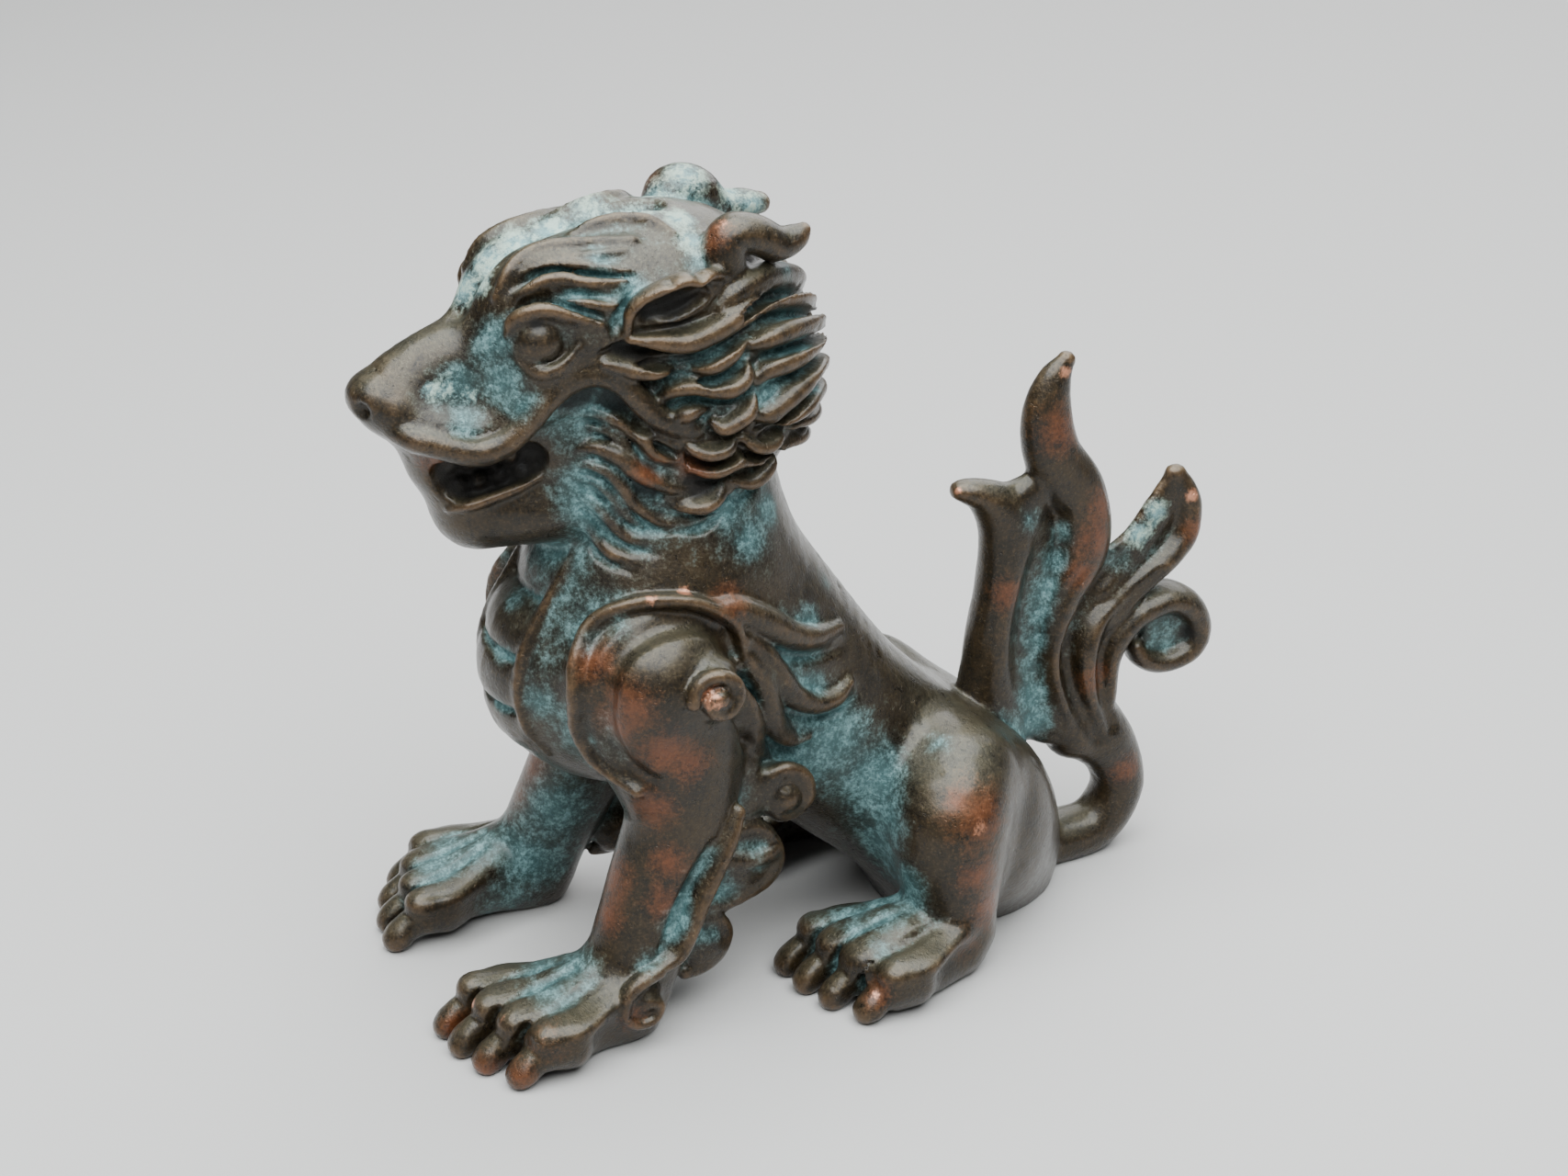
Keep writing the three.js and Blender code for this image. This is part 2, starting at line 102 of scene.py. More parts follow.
DAMP_REGIONS = [
    (9, -38, 80, 5), (8, -34, 84, 4), (10, -28, 74, 6), (10, -24, 64, 8), (6, -30, 54, 8),
    (2, -35, 44, 9), (10, -28, 38, 6), (-14, -26, 16, 14), (-16, -40, 6, 10), (18, -18, 16, 7),
    (15, -14, 10, 8), (14, -8, 24, 7), (13, 0, 28, 10), (14, 6, 14, 10), (18, 0, 6, 8),
    (14, -36, 7, 7), (12, -6, 42, 7), (2, 33, 38, 9), (2, 48, 42, 8), (2, 32, 22, 6), (2, 52, 29, 5),
    (0, 8, 60, 10), (0, -25, 92, 12), (-8, -8, 90, 9), (8, -11, 85, 4), (9, -26, 89, 6),
    (6, -42, 79, 5), (10, -2, 78, 9), (12, -14, 78, 6), (10, -9, 60, 7),
]
RUBBED_PATCHES = [
    (18, -26, 44, 3), (17, -28, 41, 2.4), (19, -23, 38, 3), (20, -20, 36, 2.4), (14, -28, 20, 3),
    (15, -29, 16, 2.4), (18, -22, 23, 2.2), (18, -23, 18, 2), (14, -29, 48, 2.4), (14, -13, 52, 2.2),
    (13, -10, 46, 1.6), (21, 15, 22, 3.6), (22, 17, 10, 3), (21, 13, 6, 2.4), (18, -24, 30, 2.6),
    (21, 13, 24, 2), (22, 15, 15, 2.6), (3, 41, 49, 2.6), (3, 40, 45, 2.8), (3, 28, 40, 2),
    (3, 41, 26, 2), (3, 38, 41, 2), (2, 35, 60, 3), (3, 46, 12, 2), (2, 55, 43, 2), (26, 0, 4, 1.8),
    (10, -46, 2, 2), (18, -45, 1, 2), (22, -42, 2, 1.8), (21, -38, 5, 2), (11, -21, 68, 2),
    (12, -16, 68, 2), (4, -43, 71, 2), (19, -28, 5, 2), (9, -12, 93, 2),
]
BRIGHT_PATCHES = [
    (22, 15, 21, 1.3), (10, -12, 89, 1.1), (22, -18, 45, 1.7), (14, -18, 54, 1.2), (14, -22, 54, 1),
    (26, 0, 4, 0.9), (1, 36, 67, 1.3), (-1, -49, 79, 0.8), (2, 54, 48, 1.2), (1, 22, 54, 0.8),
    (17, -42, 6, 0.9), (22, -39, 6, 0.9), (12, -44, 6, 0.7), (9, -11, 94, 1),
]
CRUST_AND_HIGHLIGHT_PATCHES = [
    (-7, -9, 94, 2.4), (-8, -4, 91.5, 2.2), (-7, -1, 90, 1.8), (-7, -12, 92, 2.2),
    (-4, -14, 93.5, 2.2), (1, -17, 94, 2.2), (4, -14, 93.5, 1.8), (7, -14, 92, 1.5),
    (-3, -22, 93, 2.4), (-1, -27, 92.5, 2.2), (-1, -31, 91.5, 2.2), (-1, -34, 90, 2.2),
    # The three small patches on the muzzle's side, near x 5, y -41, z 78.5, paint a highlight of pale flecks
    (-2, -36.5, 87, 2), (2, -35.6, 88.6, 1.4), (5.4, -41, 79, 1.2), (6, -39, 78, 1.1),
    (4.4, -43, 78.6, 1), (1, 47.4, 43.6, 1.5), (1, 49.6, 46.2, 1.4),
]
# Painted shade: dark patches where shade falls, in the mouth's hollow, under the lip's arch, over the eyeball
# and in other recesses
PAINTED_SHADE_PATCHES = [
    (4, -40, 68, 2.6), (5, -36, 68.5, 2.6), (6, -33, 69, 2.2), (8, -28, 77, 1.8), (9, -24, 76, 1.4),
    (11.5, -22, 82.5, 1.8), (12, -17, 82.5, 1.4), (12, -18, 87.4, 2.2), (12, -20.6, 86.8, 1.4),
    (12, -15, 66, 2), (11, -21, 66, 1.4), (2, 55, 29, 1.2), (9.6, -32.6, 86.6, 1),
]
PATCHES = {
    "verdigris": VERDIGRIS_PATCHES,
    "damp": DAMP_REGIONS,
    "rubbed": RUBBED_PATCHES,
    "bright": BRIGHT_PATCHES,
    # The crust patches also paint a highlight on the muzzle's side
    "crust_and_highlight": CRUST_AND_HIGHLIGHT_PATCHES,
    # Painted shade
    "painted_shade": PAINTED_SHADE_PATCHES,
}

# The patina's colours, with those of the painted shade and sheen, as a screen shows them, from 0 to 255
DARK_BRONZE = (26, 21, 12)
MID_BRONZE = (54, 42, 24)
PALE_BRONZE = (96, 80, 54)
EDGE_BROWN = (128, 98, 68)
RUBBED_ORANGE = (120, 66, 36)
BRIGHT_COPPER = (222, 156, 122)
VERDIGRIS = (62, 98, 100)
PALE_VERDIGRIS = (126, 166, 168)
# Pale crust, whose colour also paints a highlight on the muzzle's side
PALE_CRUST_AND_HIGHLIGHT = (172, 196, 182)
# Dust, with a painted sheen on what faces up
DUST_AND_SHEEN = (108, 108, 90)
# The colour of the painted shade in the creases
PAINTED_CREVICE_SHADE = (17, 16, 15)

# How much of what lies under it each layer of the patina, and of the painted shade and sheen, covers where it
# is fullest
SPECKS_COVER = 0.35
EDGES_COVER = 0.5
# Dust, with a painted sheen on what faces up
DUST_AND_SHEEN_COVERS = 0.3
RUBBING_COVERS = 0.64
VERDIGRIS_COVERS = 0.78
BRIGHT_COVERS = 0.85
# Crust, and a painted highlight on the muzzle's side
CRUST_AND_HIGHLIGHT_COVERS = 0.68
# Painted shade in the creases
PAINTED_SHADE_COVERS = 0.88


def soft_min(a, b, blend):
    """The smaller of two distances, with the join between them rounded over the length "blend"."""
    overlap = np.maximum(blend - np.abs(a - b), 0) / blend
    return np.minimum(a, b) - overlap * overlap * (blend / 4)


def beside(spots, shift):
    """The line moved square to itself by "shift", to the right of the way it runs."""
    spots = np.array(spots, float)
    runs = np.gradient(spots, axis=0)
    runs /= np.linalg.norm(runs, axis=1, keepdims=True)
    return spots + shift * np.stack((runs[:, 1], -runs[:, 0]), axis=1)


def smooth_line(stops, spacing):
    """A Catmull-Rom curve through the stops, with every number of a stop running as smoothly as its place."""
    ends = np.vstack((2 * stops[0] - stops[1], stops, 2 * stops[-1] - stops[-2]))
    ends[0, 3:5] = stops[0, 3:5]
    ends[-1, 3:5] = stops[-1, 3:5]
    line = []
    for before, start, end, after in zip(ends, ends[1:], ends[2:], ends[3:]):
        count = max(2, math.ceil(np.linalg.norm(end[:3] - start[:3]) / spacing))
        t = np.arange(count)[:, None] / count
        line.append(
            start
            + 0.5 * t * (end - before)
            + t**2 * (before - 2.5 * start + 2 * end - 0.5 * after)
            + t**3 * (1.5 * start - 0.5 * before - 1.5 * end + 0.5 * after)
        )
    return np.vstack(line + [stops[-1:]])


def rod_distance(x, y, z, start, end):
    """Distance to a tapering rod with elliptical sections.

    A stop is its place, its half width and half depth, and the way across that the width is measured.
    """
    along = end[:3] - start[:3]
    length = float(np.linalg.norm(along))
    along = along / length
    across = start[5:8] + end[5:8]
    wide = across - along * (across @ along)
    wide = wide / np.linalg.norm(wide)
    deep = np.cross(along, wide)
    out = (x - start[0], y - start[1], z - start[2])
    run, u, v = (out[0] * way[0] + out[1] * way[1] + out[2] * way[2] for way in (along, wide, deep))
    t = np.clip(run / length, 0, 1)
    half_width = start[3] + (end[3] - start[3]) * t
    half_depth = start[4] + (end[4] - start[4]) * t
    half_end = np.minimum(half_width, half_depth)
    u = u / half_width
    v = v / half_depth
    w = (run - t * length) / half_end
    near = np.sqrt(u * u + v * v + w * w)
    u = u / half_width
    v = v / half_depth
    w = w / half_end
    steep = np.sqrt(u * u + v * v + w * w)
    return near * (near - 1) / np.maximum(steep, 1e-6)


def turns(count, step):
    """Cosines and sines along "count" turns, "step" degrees apart."""
    angles = np.radians(np.arange(0, 360 * count + 1, step))
    return list(zip(np.cos(angles), np.sin(angles)))


def mirrored(side, stops):
    return [(side * stop[0], *stop[1:]) for stop in stops]


def in_middle(stops):
    """Stops in the figure's middle plane, which are given without their x."""
    return [(0, *stop) for stop in stops]


class Clay:
    """A block of grid points, each holding the distance to the figure's surface, negative inside it."""

    def __init__(self, low, high, spacing):
        self.low = np.array(low, np.float32)
        self.spacing = spacing
        self.counts = np.ceil((np.array(high) - self.low) / spacing).astype(int) + 1
        self.field = np.full(self.counts, FAR, np.float32)

    def window(self, low, high):
        first = np.clip(np.floor((low - self.low) / self.spacing).astype(int), 0, self.counts - 1)
        last = np.clip(np.ceil((high - self.low) / self.spacing).astype(int) + 1, 1, self.counts)
        return tuple(slice(a, b) for a, b in zip(first, last))

    def coordinates(self, window):
        x, y, z = (
            (low + self.spacing * np.arange(part.start, part.stop)).astype(np.float32)
            for low, part in zip(self.low, window)
        )
        return x[:, None, None], y[None, :, None], z[None, None, :]

    def put(self, window, distance, blend, cut):
        here = self.field[window]
        if cut:
            self.field[window] = -soft_min(-here, distance, blend)
        else:
            self.field[window] = soft_min(here, distance, blend)

    def strand(self, stops, across=SIDEWAYS, blend=1.0, cut=False):
        """A rod through stops of [x, y, z, half width along "across", half depth square to it]."""
        stops = np.array(stops, float)
        ways = np.broadcast_to(across, (len(stops), 3))
        stops = np.hstack((stops, ways))
        line = smooth_line(stops, max(0.5, 0.22 * stops[:, 3:5].mean())).astype(np.float32)
        margin = line[:, 3:5].max(axis=1, keepdims=True) + max(blend, 1.5) + 1
        parts = [
            self.window(np.minimum(start[:3], end[:3]) - room, np.maximum(start[:3], end[:3]) + room)
            for start, end, room in zip(line, line[1:], margin)
        ]
        whole = tuple(slice(min(a.start for a in axis), max(a.stop for a in axis)) for axis in zip(*parts))
        distance = np.full(tuple(part.stop - part.start for part in whole), FAR, np.float32)
        for start, end, part in zip(line, line[1:], parts):
            inner = tuple(slice(a.start - b.start, a.stop - b.start) for a, b in zip(part, whole))
            rod = rod_distance(*self.coordinates(part), start, end)
            distance[inner] = np.minimum(distance[inner], rod)
        self.put(whole, distance, blend, cut)

    def egg(self, middle, halves, blend=1.0, cut=False):
        """A sphere stretched to three half sizes."""
        middle = np.array(middle, np.float32)
        room = max(halves) + max(blend, 1.5) + 1
        window = self.window(middle - room, middle + room)
        parts = [(place - at) / half for place, at, half in zip(self.coordinates(window), middle, halves)]
        near = np.sqrt(sum(part**2 for part in parts))
        steep = np.sqrt(sum((part / half) ** 2 for part, half in zip(parts, halves)))
        self.put(window, near * (near - 1) / np.maximum(steep, 1e-6), blend, cut)

    def settle(self):
        """Keeps the surface as it is now for the carving to be laid on."""
        self.ground = self.field.copy()

    def sample(self, values, points):
        """The grid's values at any points, by trilinear mixing."""
        place = (np.asarray(points, np.float32) - self.low) / self.spacing
        place = np.clip(place, 0, np.array(self.counts) - 1.001)
        first = place.astype(int)
        part = place - first
        total = 0
        for corner in np.ndindex(2, 2, 2):
            share = np.prod(np.where(corner, part, 1 - part), axis=1)
            total = total + share * values[tuple((first + corner).T)]
        return total

    def slope(self, values, points):
        steps = np.eye(3, dtype=np.float32) * self.spacing * 0.75
        rises = [self.sample(values, points + step) - self.sample(values, points - step) for step in steps]
        rise = np.stack(rises, axis=1)
        return rise / np.maximum(np.linalg.norm(rise, axis=1, keepdims=True), 1e-6)

    def meet(self, outer, inward):
        """Where a line coming in from "outer" meets the settled surface, and the way straight out there."""
        run = np.arange(0, 110, self.spacing / 2)[:, None]
        path = outer + run * inward
        depth = self.sample(self.ground, path)
        hit = int(np.argmax(depth < 0))
        share = depth[hit - 1] / (depth[hit - 1] - depth[hit])
        point = path[hit - 1] + share * (path[hit] - path[hit - 1])
        return point, self.slope(self.ground, point[None])[0]

    def near(self, x, y, z):
        """The place on the settled surface nearest to a point, and the way straight out there."""
        point = np.array([(x, y, z)], float)
        for _ in range(4):
            point = point - self.sample(self.ground, point)[:, None] * self.slope(self.ground, point)
        return point[0], self.slope(self.ground, point)[0]

    def on_side(self, y, z):
        return self.meet(np.array((60.0, y, z)), -SIDEWAYS)

    def on_front(self, x, z):
        return self.meet(np.array((x, -90.0, z)), np.array((0, 1.0, 0)))

    def on_mane(self, turn, rise):
        """A place on the mane, turned from straight out at the side to the back, and risen, in degrees."""
        turn, rise = math.radians(turn), math.radians(rise)
        level = math.cos(rise)
        outward = np.array((level * math.cos(turn), level * math.sin(turn), math.sin(rise)))
        return self.meet(MANE_MIDDLE + 40 * outward, -outward)

    def ridge(
        self, place, spots, half_width, height=None, sink=0.3, ends=0.45, blend=0.5, cut=False, sides=BOTH
    ):
        """A ridge over the settled surface, fullest in its middle, on both sides if not told else.

        Its middle line lies under the surface by "sink" of its height. A groove's, with "cut", lies over it.
        """
        height = half_width if height is None else height
        stops, ways = [], []
        for i, spot in enumerate(spots):
            point, outward = place(*spot)
            full = ends + (1 - ends) * math.sin(math.pi * i / (len(spots) - 1)) ** 0.7
            centre = point - outward * sink * height * full
            stops.append((*centre, height * full, half_width * full))
            ways.append(outward)
        for side in sides:
            self.strand(mirrored(side, stops), np.array(ways) * (side, 1, 1), blend, cut)

    def groove(self, place, spots, half_width, depth=None, over=0, ends=0.3, blend=0.4, sides=BOTH):
        """A groove cut down to "depth" under the settled surface, and through what stands "over" it."""
        depth = half_width if depth is None else depth
        height = (depth + over) / 2
        self.ridge(place, spots, half_width, height, depth / height - 1, ends, blend, cut=True, sides=sides)

    def blurred(self, limit, reach):
        """The distances, held within the limit, averaged over the reach on each side, in two passes."""
        values = np.clip(self.field, -limit, limit)
        cells = max(1, round(reach / self.spacing))
        for _ in range(2):
            for axis in range(3):
                pad = [(0, 0)] * 3
                pad[axis] = (cells + 1, cells)
                total = np.cumsum(np.pad(values, pad, mode="edge"), axis=axis, dtype=np.float64)
                ahead = np.take(total, range(2 * cells + 1, total.shape[axis]), axis=axis)
                behind = np.take(total, range(0, total.shape[axis] - 2 * cells - 1), axis=axis)
                values = ((ahead - behind) / (2 * cells + 1)).astype(np.float32)
        return values

    def skin(self):
        """The surface as corners and four-sided faces, with one corner in each cell that it crosses."""
        inside = self.field < 0
        cell_counts = self.counts - 1
        corners = list(np.ndindex(2, 2, 2))
        held = sum(
            inside[tuple(slice(o, o + n) for o, n in zip(corner, cell_counts))].astype(np.uint8)
            for corner in corners
        )
        cells = np.argwhere((held > 0) & (held < 8))
        values = {corner: self.field[tuple((cells + corner).T)] for corner in corners}
        total = np.zeros((len(cells), 3))
        crossings = np.zeros(len(cells))
        for start in corners:
            for axis in range(3):
                if start[axis]:
                    continue
                end = tuple(1 if i == axis else start[i] for i in range(3))
                a, b = values[start], values[end]
                crossed = (a < 0) != (b < 0)
                share = np.where(crossed, a / np.where(crossed, a - b, 1), 0)
                point = np.array(start) + share[:, None] * (np.array(end) - np.array(start))
                total += point * crossed[:, None]
                crossings += crossed
        corners_at = self.low + self.spacing * (cells + total / crossings[:, None])
        number = np.full(cell_counts, -1, np.int32)
        number[tuple(cells.T)] = np.arange(len(cells))
        faces = []
        for axis in range(3):
            b, c = (axis + 1) % 3, (axis + 2) % 3
            lower = np.take(inside, range(inside.shape[axis] - 1), axis=axis)
            upper = np.take(inside, range(1, inside.shape[axis]), axis=axis)
            edges = np.argwhere(lower != upper)
            edges = edges[(edges[:, b] > 0) & (edges[:, c] > 0)]
            edges = edges[(edges[:, b] < cell_counts[b]) & (edges[:, c] < cell_counts[c])]
            around = []
            for back_b, back_c in ((1, 1), (0, 1), (0, 0), (1, 0)):
                cell = edges.copy()
                cell[:, b] -= back_b
                cell[:, c] -= back_c
                around.append(number[tuple(cell.T)])
            quads = np.stack(around, axis=1)
            outwards = lower[tuple(edges.T)]
            faces.append(np.where(outwards[:, None], quads, quads[:, ::-1]))
        for _ in range(2):
            off = self.sample(self.field, corners_at)
            step = np.clip(off, -self.spacing / 2, self.spacing / 2)
            corners_at = corners_at - step[:, None] * self.slope(self.field, corners_at)
        return corners_at, np.vstack(faces)


def model_trunk(clay):
    back = [
        (-15, 50, 13, 15), (-6, 39, 12.5, 14), (4, 27.5, 12, 12.5), (14, 18, 12.5, 12),
        (22, 10.5, 12, 11),
    ]
    neck = [(-16, 50, 13, 13.5), (-15, 58, 11.5, 13), (-14.5, 68, 11.5, 12)]
    breast = (0, -17.5, 41)
    rump = (0, 24.6, 5)
    clay.strand(in_middle(back), blend=4)
    clay.egg(breast, (14.5, 19.5, 16), blend=5)
    clay.egg(rump, (11.6, 12.3, 14), blend=5)
    clay.strand(in_middle(neck), blend=5)


def model_head(clay):
    skull = [
        (-28.5, 83.6, 10.6, 9.4), (-20, 84.4, 12, 10.2), (-13.5, 81.5, 12.4, 12.4),
        (-10, 78, 12.2, 12),
    ]
    muzzle = [(-25, 81, 9.6, 7.5), (-36, 79.8, 5.4, 5.6), (-43, 78.4, 3.8, 4.4), (-46.6, 77.2, 3.6, 3.2)]
    mouth = [(-24, 70, 7.6, 6), (-34, 69.4, 5.6, 6), (-40.4, 69.4, 4.4, 5)]
    jaw = [(-20, 62.5, 8.5, 5.5), (-30, 62.8, 7.4, 5.4), (-36.8, 63, 5.8, 5.4)]
    chin = [(-42.4, 73, 4.6, 3.6), (-40.6, 68, 5, 3.4), (-37.8, 62.4, 5, 3.6)]
    lips = [
        (-45.8, 75.4, 4.6, 2), (-43, 74.8, 6.2, 2.1), (-39, 74, 7.2, 2.2), (-35, 75, 8, 2.6),
        (-31, 78.2, 8.6, 3.2),
    ]
    throat = (0, -22, 69)
    nose = (0, -48.2, 77.2)
    clay.strand(in_middle(skull), blend=3)
    clay.egg(MANE_MIDDLE, (MANE_RADIUS, MANE_RADIUS, MANE_RADIUS + 0.2), blend=2)
    clay.egg(throat, (9.6, 11, 11), blend=3)
    clay.strand(in_middle(muzzle), blend=2.5)
    clay.strand(in_middle(mouth), blend=1)
    clay.strand(in_middle(jaw), blend=2)
    clay.strand(in_middle(chin), blend=1.5)
    clay.strand(in_middle(lips), blend=5)
    clay.egg(nose, (3.7, 2.7, 2.5), blend=0.7)


def model_horn(clay, side):
    """A horn stands up from the crown and hooks over backwards. The right one is thicker and lies lower."""
    lower = 0 if side == LEFT else 1
    hook = [
        (HORN, -10.4, 84, 2.5, 2.7), (HORN, -11, 90, 2.7 + 0.5 * lower, 2.6),
        (HORN, -10, 92.6, 2.7 + 0.7 * lower, 2.3 + 0.3 * lower),
        (HORN, -7.4, 92.4, 2.6 + 0.8 * lower, 2.2 + 0.4 * lower),
        (HORN, -4.6, 91 - lower, 2.1 + 0.5 * lower, 1.9 + 0.2 * lower),
        (HORN, -2.4 + lower, 91.4 - 1.6 * lower, 1.6 + 0.4 * lower, 1.4 + 0.4 * lower),
        (HORN, -1.4 + 2 * lower, 92.1 - 2.4 * lower, 1 + 0.5 * lower, 0.8 + 0.5 * lower),
    ]
    clay.strand(mirrored(side, hook), blend=0.8)


def toe_line(paw, front, place):
    """Where a toe meets the ground, across and along, and where its tendon starts across."""
    across = place - 1.5
    return paw + across * TOE_PITCH, front + 0.5 * place**2, paw + across * 2.4


def model_toes(clay, side, paw, front):
    """Four toes fan out from the middle of the paw, joined by a web, each with a knuckle and a blunt claw."""
    across_paw = [toe_line(paw, front, place) for place in (0.3, 1.5, 2.7)]
    web = [(x, y + 7.8, 3.7, 2.9, 2.9) for x, y, _ in across_paw]
    clay.strand(mirrored(side, web), (0, 1, 0), blend=1.5)
    for place in range(4):
        x, y, root = toe_line(paw, front, place)
        tendon = [(root, y + 14, 7, 1.3, 0.8), (x, y + 8.4, 6.1, 1.8, 0.9), (x, y + 5, 5.6, 2, 1.4)]
        toe = [(x, y + 7, 3.6, 2.2, 2.6), (x, y + 4, 3.4, 2.2, 2)]
        claw = [(x, y + 2.4, 2.8, 1.8, 1.8), (x, y + 1.2, 1.8, 2.1, 1.8), (x, y + 0.6, 1.3, 1.9, 1.6)]
        clay.strand(mirrored(side, tendon), blend=2.4)
        clay.strand(mirrored(side, toe), blend=0.9)
        clay.egg((side * x, y + 4.2, 5.4), (2.2, 2.1, 1.8), blend=0.7)
        clay.strand(mirrored(side, claw), blend=0.5)


def carve_toes(clay, side, paw, front):
    """The toes part at the front of the paw, and fine grooves run back from there over its top."""
    for place in (0.5, 1.5, 2.5):
        x, y, root = toe_line(paw, front, place)
        gap = [(x, y + 0.4, 0.8, 0.5, 1.6), (x, y + 2.2, 3, 0.5, 1.2), (x, y + 4, 6, 0.4, 0.9)]
        line = [
            (x, y + 4.6, 6.4), (x, y + 7.4, 6.8), ((x + root) / 2, y + 10.4, 7.6),
            (root, y + 13.6, 8.6),
        ]
        line = [(side * across, along, up) for across, along, up in line]
        clay.strand(mirrored(side, gap), blend=0.5, cut=True)
        clay.groove(clay.near, line, 0.45, depth=0.4, blend=0.8, sides=AS_GIVEN)


def model_foreleg(clay, side, paw):
    spread = paw - FOREPAW_LEFT
    column = [
        (11.5, -21.6, 44.4, 8, 9.4), (12.6, -19.6, 36, 7.2, 8.6), (13.4, -18.8, 27, 5.8, 6.5),
        (13.6 + spread * 0.3, -21.6, 18, 5.2, 6.2), (14 + spread * 0.8, -25.4, 8, 5, 5.6),
        (paw - 0.4, -27, 4, 5, 5),
    ]
    sole = [
        (paw - 1, -26.4, 3, 3.8, 3.4), (paw - 0.4, -32, 4.2, 6, 4.8), (paw, -38.6, 3.4, 6.8, 3.8),
    ]
    edge = [
        (paw + 0.3, -27, 2.4, 2.6, 2.8), (paw + 2.1, -31.3, 2.4, 2.6, 2.8),
        (paw + 4, -36, 2.4, 2.6, 2.8),
    ]
    clay.strand(mirrored(side, column), blend=2.2)
    clay.strand(mirrored(side, sole), blend=4)
    clay.strand(mirrored(side, edge), blend=1)
    model_toes(clay, side, paw, FOREPAW_FRONT)


def model_shoulder(clay, side):
    """A ball stands out from the foreleg's top, with a smaller knob on its outer face."""
    clay.egg((side * 13, -21.4, 43.6), (8, 7.6, 8.2), blend=1.5)
    clay.egg((side * KNOB[0], *KNOB[1:]), (3.2, 3.8, 3.8), blend=0.8)


def model_hind_leg(clay, side):
    leg = [(12, 17, 22, 7.5, 7), (15.4, 14.6, 19, 7.6, 7.4), (17, 14.2, 12, 6, 6), (17.8, 14.6, 5, 5, 5)]
    sole = [
        (HINDPAW - 0.6, 13.6, 3, 4.4, 4), (HINDPAW - 0.4, 8, 4.6, 5.8, 5), (HINDPAW, 2.6, 4, 6.6, 4.2),
    ]
    edge = [(19.4, 14.2, 2.4, 3, 2.8), (21.8, 9, 2.4, 2.8, 2.8), (24.2, 3.6, 2.8, 2.5, 2.8)]
    clay.egg((side * 8, 20, 14), (9.5, 11, 12), blend=6)
    clay.strand(mirrored(side, leg), blend=3.2)
    clay.strand(mirrored(side, sole), blend=1.5)
    clay.strand(mirrored(side, edge), blend=1)
    model_toes(clay, side, HINDPAW, HINDPAW_FRONT)


def model_tail(clay):
    """The tail leaves the rump along the ground, loops up and opens into flame-like tongues."""
    thick = TAIL_THICK
    stem = [
        (30, 2.8, 4, 3.6), (38.4, 2.2, thick + 0.4, 3.4), (43.8, 3.2, thick, 3.4),
        (46.7, 8.2, thick, 3.4), (45, 14, thick, 3.8), (40.5, 19, thick, 5),
    ]
    front_tongue = [
        (36, 20, thick, 3.4), (30.8, 23.5, thick, 4), (28.6, 31, thick, 4), (29.2, 40, 3.4, 3.6),
        (29.5, 46.2, 3.1, 3.6), (28, 50.2, 2.8, 3), (25.7, 52.3, 2.4, 2), (23.7, 53.2, 1.9, 1.5),
        (22.8, 53.4, 1.5, 1.2),
    ]
    middle_tongue = [
        (40, 17.5, thick, 4), (35.6, 25.3, thick, 2.9), (34.6, 31, thick, 2.8), (36.4, 37, 3.5, 3.4),
        (39.4, 43.5, 3.4, 4), (38.6, 50, 3.2, 4), (35.2, 56, 2.9, 3.6), (34.2, 61.4, 2.4, 3.2),
        (35, 65.5, 1.8, 2.2), (36.6, 68, 1.1, 1.2),
    ]
    rear_tongue = [
        (44, 15.4, thick, 3.4), (41.2, 21, thick, 3.2), (40, 27, thick, 2.8), (41.4, 31.6, 3.4, 2.4),
        (45.2, 35.1, 3.2, 2), (48.5, 37.6, 3, 1.9), (51.9, 39.9, 2.8, 1.8), (54.1, 42.4, 2.5, 1.8),
        (54.6, 45.8, 2.2, 1.7), (54, 48.2, 1.8, 1.5), (53, 50.4, 1.2, 1.1),
    ]
    curl = [
        (43.2, 22, 3.2, 2), (43.6, 27.6, 3.2, 2.1), (46, 31.4, 3.2, 2), (49, 33.2, 3.2, 2),
        (52.4, 33.7, 3.2, 2), (55.3, 32, 3.2, 2), (56.6, 29.2, 3.1, 2), (56, 26.7, 3, 1.9),
        (53.8, 25.4, 2.9, 1.8), (51.2, 25.2, 2.8, 1.7), (49, 26.2, 2.5, 1.5), (47.9, 27.8, 2, 1.2),
    ]
    curl_floor = [(50, 29.4, 1.3, 3.4), (54, 29.4, 1.3, 3)]
    # Thin webs fill the gaps between the tongues
    webs = [
        [
            (34, 22, 3, 2.6), (31.4, 30, 3, 2.6), (32.6, 40, 2.8, 3), (33.4, 46.6, 2.5, 3),
            (31, 51.6, 1.6, 2.4),
        ],
        [
            (39.6, 20, 2.4, 2.6), (37.6, 27, 2.2, 2.4), (39.2, 33, 1.6, 2.4), (42.2, 38, 1, 1.6),
        ],
        [
            (43.2, 36.6, 1.6, 2.2), (46.8, 40.4, 1.3, 2.4), (50, 44.2, 1.1, 2.5), (51.6, 48, 1, 2),
            (52.2, 50.6, 0.9, 1),
        ],
        [(29, 50.6, 1.9, 2.2), (33, 52, 1.6, 2)],
        [(42, 37.6, 1.2, 2), (45, 40.6, 1.1, 2), (47.6, 42.6, 1, 1.8), (50.4, 46, 1, 1.8)],
        [(27.8, 36, 2.6, 2.4), (27, 30, 3, 2.8), (27.2, 25.2, 3.4, 3.4), (30.4, 21, 3.4, 3.2)],
    ]
    for stops in (stem, front_tongue, middle_tongue, rear_tongue, curl, curl_floor):
        clay.strand(in_middle(stops), blend=0.8)
    for stops in webs:
        clay.strand(in_middle(stops), blend=1)


